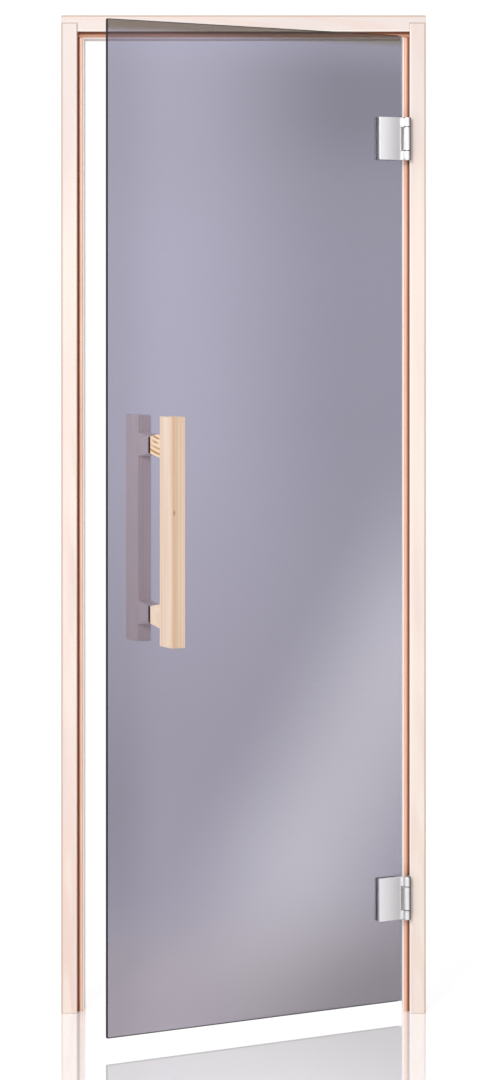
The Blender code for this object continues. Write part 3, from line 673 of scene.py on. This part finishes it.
def steel_finish():
    """Turned steel of pins, screws and bolts."""
    material, nodes, shader = new_finish("turned_steel", 0.28, metallic=1.0)
    turned = nodes.noise(nodes.place(), TURNED_WAVES, detail=2.0)
    colour = nodes.mix(nodes.step(turned, *MOST_NOISE), STEEL_DARK, STEEL_LIGHT)
    nodes.feed(shader.inputs["Base Color"], colour)
    nodes.feed(shader.inputs["Normal"], nodes.bump(turned, *TURNED_RELIEF))
    return material


def rubber_finish(name, colours, roughness):
    """Fine-grained rubber or nylon."""
    material, nodes, shader = new_finish(name, roughness)
    speck = nodes.noise(nodes.place(), RUBBER_WAVES, detail=3.0)
    colour = nodes.mix(nodes.step(speck, *MOST_NOISE), *colours)
    nodes.feed(shader.inputs["Base Color"], colour)
    nodes.feed(shader.inputs["Normal"], nodes.bump(speck, *RUBBER_RELIEF))
    return material


# Glass

GLASS_HIGH = rgb(0.407, 0.391, 0.505)
GLASS_TOP = rgb(0.380, 0.365, 0.465)
GLASS_TOP_SHADE = rgb(0.200, 0.175, 0.130)
GLASS_LOW = rgb(0.311, 0.290, 0.370)
GLASS_FOOT = rgb(0.368, 0.333, 0.388)
GLASS_BLACK = rgb(0.0, 0.0, 0.0)
GLASS_EDGE_SHADE = rgb(0.008, 0.008, 0.008)
GLASS_HINGE_EDGE_LIGHT = rgb(0.550, 0.540, 0.580)
GLASS_SHADOW = rgb(0.98, 0.98, 0.985)

# Heights between which the low tint turns to the high one, the foot's tint sets in, and the
# top's tint sets in and ends, as painted light and shade; and how far under the pane's top the
# painted shade of the head behind it begins and is full
HIGH_TINT_Z = (0.45, 1.20)
FOOT_TINT_Z = (0.30, 0.10)
TOP_TINT_START_Z, TOP_TINT_END_Z = (1.40, 1.65), (1.84, 1.74)
TOP_SHADE_DEPTH = (0.026, 0.010)
TOP_SHADE_SHARE = 0.85

# The pane is palest on a line this far from its free edge, and darkest this far from each edge;
# each darker patch on its hinge side is a share of black with heights to rise and, for one, to
# end between; these are painted light and shade
PALEST_X = 0.120
HINGE_SIDE_DARKEST, FREE_SIDE_DARKEST = 0.10, 0.01
HINGE_SIDE_SHADE = 0.12
HINGE_SIDE_PATCHES = (
    (0.18, (0.60, 1.15), None),
    (0.14, (1.55, 1.72), (1.85, 1.76)),
    (0.28, (0.30, 0.03), None),
)
FREE_SIDE_SHADE = 0.12
FREE_SIDE_PATCH = (0.08, 0.42, 0.25)
CLOUD_WAVES = (2.2, 2.2, 1.4)
CLOUD_NOISE = (0.45, 0.75)
CLOUD_SHARE = 0.02
GLASS_IOR = 1.5

# Ground edges, painted dark as shade and lighter beside the hinges as painted light: how far
# in they begin and are full, how far from the hinges' edge they are lighter, and their
# roughness and gloss
GLASS_RIM = (0.0009, 0.00072)
LIGHT_EDGE = (0.01, 0.005)
EDGE_ROUGHNESS = 0.5
EDGE_GLOSS = 0.15


def glass_tint(nodes, place, low, high):
    """Tint of the pane, with painted light and shade across it and painted shade at its top."""
    x, _, z = nodes.parts(place)
    # painted light and shade: the tint changes with height
    tint = nodes.mix(nodes.step(z, *HIGH_TINT_Z), GLASS_LOW, GLASS_HIGH)
    tint = nodes.mix(nodes.step(z, *FOOT_TINT_Z), tint, GLASS_FOOT)
    band = nodes.product(nodes.step(z, *TOP_TINT_START_Z), nodes.step(z, *TOP_TINT_END_Z))
    tint = nodes.mix(band, tint, GLASS_TOP)
    hinge_shade = HINGE_SIDE_SHADE
    for share, rise, end in HINGE_SIDE_PATCHES:
        patch = nodes.product(nodes.step(z, *rise), share)
        if end:
            patch = nodes.product(patch, nodes.step(z, *end))
        hinge_shade = nodes.sum(patch, hinge_shade)
    palest = low.x + PALEST_X
    hinge_side = nodes.step(x, palest, high.x - HINGE_SIDE_DARKEST)
    share, middle, reach = FREE_SIDE_PATCH
    free_shade = nodes.sum(nodes.product(nodes.near(z, middle, reach), share), FREE_SIDE_SHADE)
    free_side = nodes.step(x, palest, low.x + FREE_SIDE_DARKEST)
    cloud = nodes.noise(place, CLOUD_WAVES, detail=1.0)
    clouded = nodes.product(nodes.step(cloud, *CLOUD_NOISE), CLOUD_SHARE)
    shades = (nodes.product(hinge_side, hinge_shade), nodes.product(free_side, free_shade))
    # painted shade towards the hinge side and the free edge, with a faint random cloud
    tint = nodes.mix(nodes.sum(*shades, clouded), tint, GLASS_BLACK)
    # painted shade: a dark brown strip under the pane's top, where the head stands behind it
    at_top = nodes.step(z, high.z - TOP_SHADE_DEPTH[0], high.z - TOP_SHADE_DEPTH[1])
    return nodes.mix(nodes.product(at_top, TOP_SHADE_SHARE), tint, GLASS_TOP_SHADE)


def glass_rim(nodes, place, low, high):
    """1 on the pane's ground edges, 0 on its faces."""
    x, _, z = nodes.parts(place)
    inner, outer = GLASS_RIM
    rims = [
        nodes.step(x, low.x + inner, low.x + outer),
        nodes.step(x, high.x - inner, high.x - outer),
        nodes.step(z, low.z + inner, low.z + outer),
        nodes.step(z, high.z - inner, high.z - outer),
    ]
    rim = rims[0]
    for other in rims[1:]:
        rim = nodes.math("MAXIMUM", rim, other)
    return rim


def ground_edge(nodes, place, high):
    """Dull edge of the glass, painted dark as shade and lighter beside the hinges as painted light."""
    x = nodes.parts(place)[0]
    at_hinges = nodes.step(x, high.x - LIGHT_EDGE[0], high.x - LIGHT_EDGE[1])
    # painted shade: edges near black; painted light: lighter beside the hinges
    colour = nodes.mix(at_hinges, GLASS_EDGE_SHADE, GLASS_HINGE_EDGE_LIGHT)
    inputs = {
        "Base Color": colour,
        "Roughness": EDGE_ROUGHNESS,
        "Specular IOR Level": EDGE_GLOSS,
    }
    return nodes.add("ShaderNodeBsdfPrincipled", inputs).outputs[0]


def glass_finish():
    """Grey-violet tinted glass with painted light and shade, and ground edges painted dark.

    Light that falls through the pane onto other pieces passes nearly clear.
    """
    material, nodes, shader = new_finish("violet_grey_glass", 0.0)
    place = nodes.leaf_place()
    low, high = leaf_box("glass_pane")
    nodes.feed(shader.inputs["Base Color"], glass_tint(nodes, place, low, high))
    shader.inputs["Transmission Weight"].default_value = 1.0
    shader.inputs["IOR"].default_value = GLASS_IOR
    rim = glass_rim(nodes, place, low, high)
    body = nodes.shaders(rim, shader.outputs[0], ground_edge(nodes, place, high))
    through = nodes.add("ShaderNodeBsdfTransparent", {"Color": GLASS_SHADOW})
    path = nodes.add("ShaderNodeLightPath").outputs
    lighting = nodes.math("MAXIMUM", path["Is Shadow Ray"], path["Is Diffuse Ray"])
    surface = nodes.shaders(lighting, body, through.outputs[0])
    nodes.feed(material.node_tree.nodes["Material Output"].inputs["Surface"], surface)
    return material


def leaf_box(node):
    """Lowest and highest corner of a node of the leaf, in leaf coordinates."""
    turn = Matrix.Rotation(-DOOR_ANGLE, 3, "Z")
    points = [turn @ (vertex.co - PIN) for vertex in frame["nodes"][node].data.vertices]
    low = Vector([min(point[axis] for point in points) for axis in range(3)])
    high = Vector([max(point[axis] for point in points) for axis in range(3)])
    return low, high


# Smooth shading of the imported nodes

MERGE_DISTANCE = 0.00001
SHARP_ANGLE = math.radians(50.0)
FLAT_FACE_WEIGHT = 80


def smoothing_group():
    """Nodes that join a mesh's loose faces and mark only its real edges sharp."""
    group = bpy.data.node_groups.new("smooth_rounded_faces", "GeometryNodeTree")
    group.interface.new_socket("Geometry", in_out="INPUT", socket_type="NodeSocketGeometry")
    group.interface.new_socket("Geometry", in_out="OUTPUT", socket_type="NodeSocketGeometry")
    nodes = Nodes(group)
    start = nodes.add("NodeGroupInput").outputs[0]
    plain = nodes.add("GeometryNodeRemoveAttribute", {"Geometry": start, "Name": "custom_normal"})
    inputs = {"Geometry": plain.outputs[0], "Distance": MERGE_DISTANCE}
    merged = nodes.add("GeometryNodeMergeByDistance", inputs)
    angle = nodes.add("GeometryNodeInputMeshEdgeAngle").outputs["Unsigned Angle"]
    sharp = nodes.add("FunctionNodeCompare", data_type="FLOAT", operation="GREATER_THAN")
    nodes.feed(sharp.inputs[0], angle)
    nodes.feed(sharp.inputs[1], SHARP_ANGLE)
    inputs = {"Geometry": merged.outputs[0], "Shade Smooth": True}
    faces = nodes.add("GeometryNodeSetShadeSmooth", inputs, domain="FACE")
    inputs = {"Geometry": faces.outputs[0], "Selection": sharp.outputs[0], "Shade Smooth": False}
    edges = nodes.add("GeometryNodeSetShadeSmooth", inputs, domain="EDGE")
    end = nodes.add("NodeGroupOutput")
    nodes.feed(end.inputs[0], edges.outputs[0])
    return group


def smooth_nodes():
    """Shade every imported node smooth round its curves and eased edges."""
    group = smoothing_group()
    for thing in frame["nodes"].values():
        join = thing.modifiers.new("smooth", "NODES")
        join.node_group = group
        weigh = thing.modifiers.new("flat_faces_first", "WEIGHTED_NORMAL")
        weigh.keep_sharp = True
        weigh.weight = FLAT_FACE_WEIGHT


# Stage

def sheen_finish(length):
    """Light that fades to each side of the card's Y axis and towards both of its ends."""
    material = bpy.data.materials.new("soft_box")
    material.use_nodes = True
    nodes = Nodes(material.node_tree)
    nodes.nodes.clear()
    x, y, _ = nodes.parts(nodes.place())
    band = nodes.product(nodes.step(x, -SHEEN_ABOVE, 0.0), nodes.step(x, SHEEN_BELOW, 0.0))
    rise = nodes.step(y, length * SHEEN_RISE[0], length * SHEEN_RISE[1])
    fade = nodes.step(y, length * SHEEN_FADE[1], length * SHEEN_FADE[0])
    strength = nodes.product(band, rise, fade, SHEEN_STRENGTH)
    light = nodes.add("ShaderNodeEmission", {"Color": WHITE, "Strength": strength})
    clear = nodes.add("ShaderNodeBsdfTransparent")
    both = nodes.add("ShaderNodeAddShader")
    nodes.feed(both.inputs[0], light.outputs[0])
    nodes.feed(both.inputs[1], clear.outputs[0])
    nodes.add("ShaderNodeOutputMaterial", {"Surface": both.outputs[0]})
    return material


def build_soft_box():
    """Soft box in front of the glass, linked to the pane, so that it lights nothing else."""
    face_way = Vector((math.sin(DOOR_ANGLE), -math.cos(DOOR_ANGLE), 0.0))
    apart = (CAMERA_PLACE - leaf_to_row(SHEEN_START)).dot(face_way)
    mirrored_eye = CAMERA_PLACE - 2.0 * apart * face_way
    start = mirrored_eye.lerp(leaf_to_row(SHEEN_START), SHEEN_REACH)
    end = mirrored_eye.lerp(leaf_to_row(SHEEN_END), SHEEN_REACH)
    along = (end - start).normalized()
    across = along.cross(face_way)
    length = (end - start).length
    low_x, high_x = -SHEEN_ABOVE, SHEEN_BELOW
    low_y, high_y = length * SHEEN_RISE[0], length * SHEEN_FADE[1]
    corners = [(low_x, low_y), (high_x, low_y), (high_x, high_y), (low_x, high_y)]
    mesh = bpy.data.meshes.new("soft_box")
    mesh.from_pydata([(x, y, 0.0) for x, y in corners], [], [(0, 1, 2, 3)])
    mesh.materials.append(sheen_finish(length))
    card = bpy.data.objects.new("soft_box", mesh)
    turn = Matrix((across, along, face_way)).transposed().to_4x4()
    card.matrix_world = Matrix.Translation(start) @ turn
    for ray in ("camera", "diffuse", "transmission", "volume_scatter", "shadow"):
        setattr(card, "visible_" + ray, False)
    lit = bpy.data.collections.new("lit_by_soft_box")
    lit.objects.link(frame["nodes"]["glass_pane"])
    card.light_linking.receiver_collection = lit
    bpy.context.collection.objects.link(card)


def build_world():
    """White to the camera and to glass; soft as light, and brighter from the left.

    Gloss sees white too, brighter from above.
    """
    world = bpy.data.worlds.new("studio")
    bpy.context.scene.world = world
    world.use_nodes = True
    nodes = Nodes(world.node_tree)
    nodes.nodes.clear()
    way = nodes.add("ShaderNodeTexCoord").outputs["Generated"]
    lean = nodes.product(nodes.dot(way, AMBIENT_WAY), AMBIENT_LEAN)
    ambient = nodes.math("ADD", lean, AMBIENT)
    soft = nodes.add("ShaderNodeBackground", {"Color": WHITE, "Strength": ambient})
    is_gloss = nodes.add("ShaderNodeLightPath").outputs["Is Glossy Ray"]
    above = nodes.product(nodes.dot(way, Vector((0.0, 0.0, 1.0))), is_gloss, GLOSS_LEAN)
    strength = nodes.math("ADD", above, 1.0)
    seen = nodes.add("ShaderNodeBackground", {"Color": WHITE, "Strength": strength})
    shown = nodes.shaders(nodes.seen_ray(), soft.outputs[0], seen.outputs[0])
    nodes.add("ShaderNodeOutputWorld", {"Surface": shown})


def floor_finish():
    """Pale polished floor: keeps shadow and a faint mirror image near the door."""
    material = bpy.data.materials.new("pale_floor")
    material.use_nodes = True
    nodes = Nodes(material.node_tree)
    nodes.nodes.clear()
    place = nodes.place()
    grain = nodes.noise(place, FLOOR_GRAIN_WAVES, detail=2.0)
    roughness = nodes.step(grain, *FLOOR_ROUGHNESS)
    matt = nodes.add("ShaderNodeBsdfDiffuse", {"Color": FLOOR_COLOUR}).outputs[0]
    lift = nodes.add("ShaderNodeEmission", {"Color": FLOOR_COLOUR, "Strength": FLOOR_LIFT})
    lit = nodes.add("ShaderNodeAddShader")
    nodes.feed(lit.inputs[0], matt)
    nodes.feed(lit.inputs[1], lift.outputs[0])
    gloss = nodes.add("ShaderNodeBsdfAnisotropic", {"Color": WHITE, "Roughness": roughness})
    share = nodes.add("ShaderNodeFresnel", {"IOR": FLOOR_IOR}).outputs[0]
    share = nodes.math("MINIMUM", nodes.product(share, FLOOR_GLOSS), FLOOR_GLOSS_MOST)
    polished = nodes.shaders(share, lit.outputs[0], gloss.outputs[0])
    white = nodes.add("ShaderNodeEmission", {"Color": WHITE, "Strength": 1.0}).outputs[0]
    away = nodes.add("ShaderNodeVectorMath", operation="LENGTH")
    nodes.feed(away.inputs[0], place)
    far = nodes.step(away.outputs["Value"], FLOOR_NEAR, FLOOR_FAR)
    shown = nodes.shaders(far, polished, white)
    surface = nodes.shaders(nodes.seen_ray(), matt, shown)
    nodes.add("ShaderNodeOutputMaterial", {"Surface": surface})
    return material


def build_floor():
    builder = bmesh.new()
    bmesh.ops.create_grid(builder, x_segments=1, y_segments=1, size=FLOOR_SIZE / 2)
    mesh = bpy.data.meshes.new("floor")
    builder.to_mesh(mesh)
    builder.free()
    floor = bpy.data.objects.new("floor", mesh)
    floor.location = (DOOR_MIDDLE_X, 0.0, 0.0)
    bpy.context.collection.objects.link(floor)
    mesh.materials.append(floor_finish())


def build_key_light():
    """One large soft lamp, from the left in front."""
    lamp = bpy.data.lights.new("key", "AREA")
    lamp.shape = "DISK"
    lamp.size = KEY_SIZE
    place = Vector(KEY_PLACE)
    aim = Vector(KEY_AIM)
    lamp.energy = KEY * math.pi ** 2 * (place - aim).length_squared
    thing = bpy.data.objects.new("key", lamp)
    thing.location = place
    thing.rotation_mode = "QUATERNION"
    thing.rotation_quaternion = (aim - place).to_track_quat("-Z", "Y")
    thing.visible_camera = False
    bpy.context.collection.objects.link(thing)


def build_camera():
    """Level camera in front of the frame's middle, shifted down to take in the floor."""
    data = bpy.data.cameras.new("camera")
    data.sensor_width = SENSOR
    data.lens = SENSOR * FOCAL_PIXELS / PHOTO_HEIGHT
    data.shift_y = (HORIZON_Y - PHOTO_HEIGHT / 2) / PHOTO_HEIGHT
    camera = bpy.data.objects.new("camera", data)
    camera.location = CAMERA_PLACE
    camera.rotation_euler = (math.pi / 2, 0.0, 0.0)
    bpy.context.collection.objects.link(camera)
    bpy.context.scene.camera = camera


def paint(material, *names):
    """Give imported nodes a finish."""
    for name in names:
        slots = frame["nodes"][name].data.materials
        slots.clear()
        slots.append(material)


def dress_frame():
    hinge_span = (HINGE_WALL_X, HINGE_REBATE_X)
    strike_span = (STRIKE_WALL_X, STRIKE_REBATE_X)
    head_span = (HEAD_TOP_Z, HEAD_REBATE_Z)
    paint(frame_finish("hinge_jamb_wood", "Z", *hinge_span, HINGE_JAMB_PITH), "hinge_jamb")
    strike_wood = frame_finish("strike_jamb_wood", "Z", *strike_span, STRIKE_JAMB_PITH, LIP_SHADOW_WIDTH)
    paint(strike_wood, "strike_jamb")
    paint(frame_finish("head_wood", "X", *head_span, HEAD_PITH), "head")
    # each seal's crown colour is painted light or shade for where it sits
    paint(seal_finish("hinge_seal", "X", HINGE_REBATE_X, SEAL_CROWN_HALF_LIT), "seal_hinge_side")
    paint(seal_finish("strike_seal", "X", STRIKE_REBATE_X, SEAL_CROWN_LIT), "seal_strike_side")
    paint(seal_finish("head_seal", "Z", HEAD_REBATE_Z, SEAL_CROWN_SHADED), "seal_head")


# Screws with a countersunk head and a hexagon socket

SCREW_SIDES = 24
SCREW_SHARP_ANGLE = math.radians(30.0)

# Chamfer at a screw's tip, as a share of the shank's radius; the head's and the socket's lip, as
# a share of the head's radius; and the socket's depth, as a share of the head's height
TIP_CHAMFER, HEAD_LIP, SOCKET_DEPTH = 0.3, 0.06, 0.7

# Clamp screw: its shank, its head's height and its socket as shares of the head's radius
CLAMP_SHANK, CLAMP_HEAD_HEIGHT, CLAMP_SOCKET = 0.53, 0.50, 0.42

# Screw of a frame leaf
LEAF_SCREW_SPACING = 0.056
LEAF_THICKNESS = 0.0027
LEAF_SCREW_HEAD = 0.0036
LEAF_SCREW_HEAD_HEIGHT = 0.00162
LEAF_SCREW_SHANK = 0.0019
LEAF_SCREW_SOCKET = 0.0015
HEAD_RECESS = 0.0002


def screw_rings(head, shank, head_height, length, socket):
    """Radius and height of each ring, from the tip up, over the head and down the socket.

    A ring is a pair of radii, round and hexagonal, of which one is None.
    """
    chamfer = shank * TIP_CHAMFER
    lip = head * HEAD_LIP
    return [
        (shank - chamfer, None, 0.0),
        (shank, None, chamfer),
        (shank, None, length - head_height),
        (head, None, length - lip),
        (head - lip, None, length),
        (None, socket + lip, length),
        (None, socket, length - lip),
        (None, socket, length - head_height * SOCKET_DEPTH),
    ]


def add_screw(builder, place, rings_up):
    """Add one turned screw, with its head at the end of place's Z axis, to a mesh."""
    loops = []
    for round_radius, flat_radius, height in rings_up:
        loop = []
        for side in range(SCREW_SIDES):
            turn = 2.0 * math.pi * side / SCREW_SIDES
            radius = round_radius
            if radius is None:
                radius = flat_radius / math.cos((turn + math.pi / 6) % (math.pi / 3) - math.pi / 6)
            point = Vector((radius * math.cos(turn), radius * math.sin(turn), height))
            loop.append(builder.verts.new(place @ point))
        loops.append(loop)
    for low, high in zip(loops, loops[1:]):
        for side in range(SCREW_SIDES):
            after = (side + 1) % SCREW_SIDES
            builder.faces.new((low[side], low[after], high[after], high[side]))
    builder.faces.new(list(reversed(loops[0])))
    builder.faces.new(loops[-1])


def screw_piece(name, builder, material, body):
    """Turn finished screws into a piece that rides on a body."""
    mesh = bpy.data.meshes.new(name)
    builder.to_mesh(mesh)
    builder.free()
    mesh.shade_smooth()
    mesh.set_sharp_from_angle(angle=SCREW_SHARP_ANGLE)
    mesh.materials.append(material)
    piece = bpy.data.objects.new(name, mesh)
    bpy.context.collection.objects.link(piece)
    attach(piece, body)
    return piece


def build_clamp_screws(label, material):
    """Screws that hold a back plate, with sockets, in place of the plain ones."""
    for end in ("top", "bottom"):
        node = f"hinge_{label}_{end}_clamp_screw"
        low, high = leaf_box(node)
        head = (high.x - low.x) / 2
        centre = Vector(((low.x + high.x) / 2, low.y, (low.z + high.z) / 2))
        turn = Matrix.Rotation(DOOR_ANGLE, 4, "Z") @ Matrix.Rotation(-math.pi / 2, 4, "X")
        rings_up = screw_rings(
            head,
            head * CLAMP_SHANK,
            head * CLAMP_HEAD_HEIGHT,
            high.y - low.y,
            head * CLAMP_SOCKET,
        )
        builder = bmesh.new()
        add_screw(builder, Matrix.Translation(leaf_to_row(centre)) @ turn, rings_up)
        piece = screw_piece(f"hinge_{label}_{end}_socket_screw", builder, material, LEAF)
        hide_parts(node)


def build_leaf_screws(label, material):
    """The two screws that fix a frame leaf in the rebate."""
    low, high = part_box(f"hinge_{label}_frame_leaf")
    y = (FRONT_Y + high.y) / 2
    turn = Matrix.Rotation(-math.pi / 2, 4, "Y")
    rings_up = screw_rings(
        LEAF_SCREW_HEAD,
        LEAF_SCREW_SHANK,
        LEAF_SCREW_HEAD_HEIGHT,
        LEAF_THICKNESS,
        LEAF_SCREW_SOCKET,
    )
    builder = bmesh.new()
    for side in (-1, 1):
        z = (low.z + high.z) / 2 + side * LEAF_SCREW_SPACING / 2
        add_screw(builder, Matrix.Translation((high.x - HEAD_RECESS + SEAT_GAP, y, z)) @ turn, rings_up)
    screw_piece(f"hinge_{label}_leaf_screws", builder, material, POSTS)


def dress_hinges(steel):
    metal = metal_finish()
    gasket = rubber_finish("gasket_rubber", GASKET_COLOURS, 0.6)
    nylon = rubber_finish("black_nylon", NYLON_COLOURS, 0.5)
    for label in ("lower", "upper"):
        start = f"hinge_{label}_"
        paint(metal, start + "frame_leaf", start + "front_plate", start + "back_plate")
        paint(steel, start + "pin", start + "top_clamp_screw", start + "bottom_clamp_screw")
        build_clamp_screws(label, steel)
        build_leaf_screws(label, steel)
        paint(gasket, start + "front_gasket", start + "back_gasket")
        paint(nylon, start + "top_washer", start + "bottom_washer")


def dress_handle(steel):
    low, high = leaf_box("handle_outer_bar")
    standoff_low, standoff_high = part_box("handle_outer_upper_standoff")
    standoff_z = (standoff_low.z + standoff_high.z) / 2
    streak = low.x + STREAK_OFF
    knot = (streak, low.y, KNOT_Z)
    outer_pith = (low.x + OUTER_PITH_OFF[0], low.y + OUTER_PITH_OFF[1], 0.0)
    inner_pith = (low.x + INNER_PITH_OFF[0], high.y + INNER_PITH_OFF[1], 0.0)
    striped_pith = (0.0, high.y + STRIPED_PITH_OFF[0], standoff_z + STRIPED_PITH_OFF[1])
    outer_look = (OUTER_RINGS, WARM_WOOD, OUTER_LATE, streak, knot)
    outer = handle_finish("outer_bar_wood", "Z", outer_pith, *outer_look)
    # inner bar and inner standoffs: the same wood painted paler, as painted light
    inner_look = (INNER_RINGS, PAINTED_LIGHT_WOOD, INNER_LATE)
    inner = handle_finish("inner_bar_wood", "Z", inner_pith, *inner_look)
    striped_look = (STRIPED_RINGS, STRIPED_WOOD, STRIPED_LATE)
    striped = handle_finish("end_grain_wood", "X", striped_pith, *striped_look)
    plain_look = (PLAIN_RINGS, WARM_WOOD, PLAIN_LATE)
    plain = handle_finish("standoff_wood", "X", STANDOFF_PITH, *plain_look)
    pale_look = (PLAIN_RINGS, PAINTED_LIGHT_WOOD, PALE_LATE)
    pale = handle_finish("inner_standoff_wood", "X", STANDOFF_PITH, *pale_look)
    paint(outer, "handle_outer_bar")
    paint(inner, "handle_inner_bar")
    paint(striped, "handle_outer_upper_standoff")
    paint(plain, "handle_outer_lower_standoff")
    paint(pale, "handle_inner_lower_standoff", "handle_inner_upper_standoff")
    pad = rubber_finish("pad_rubber", PAD_COLOURS, 0.6)
    for side in ("outer", "inner"):
        for label in ("lower", "upper"):
            paint(pad, f"handle_{side}_{label}_pad")
    paint(steel, "handle_lower_bolt", "handle_upper_bolt")


build_world()
build_soft_box()
build_floor()
build_key_light()
build_camera()
smooth_nodes()
dress_frame()
turned_steel = steel_finish()
dress_hinges(turned_steel)
dress_handle(turned_steel)
paint(glass_finish(), "glass_pane")

bpy.context.scene.view_settings.view_transform = "Standard"
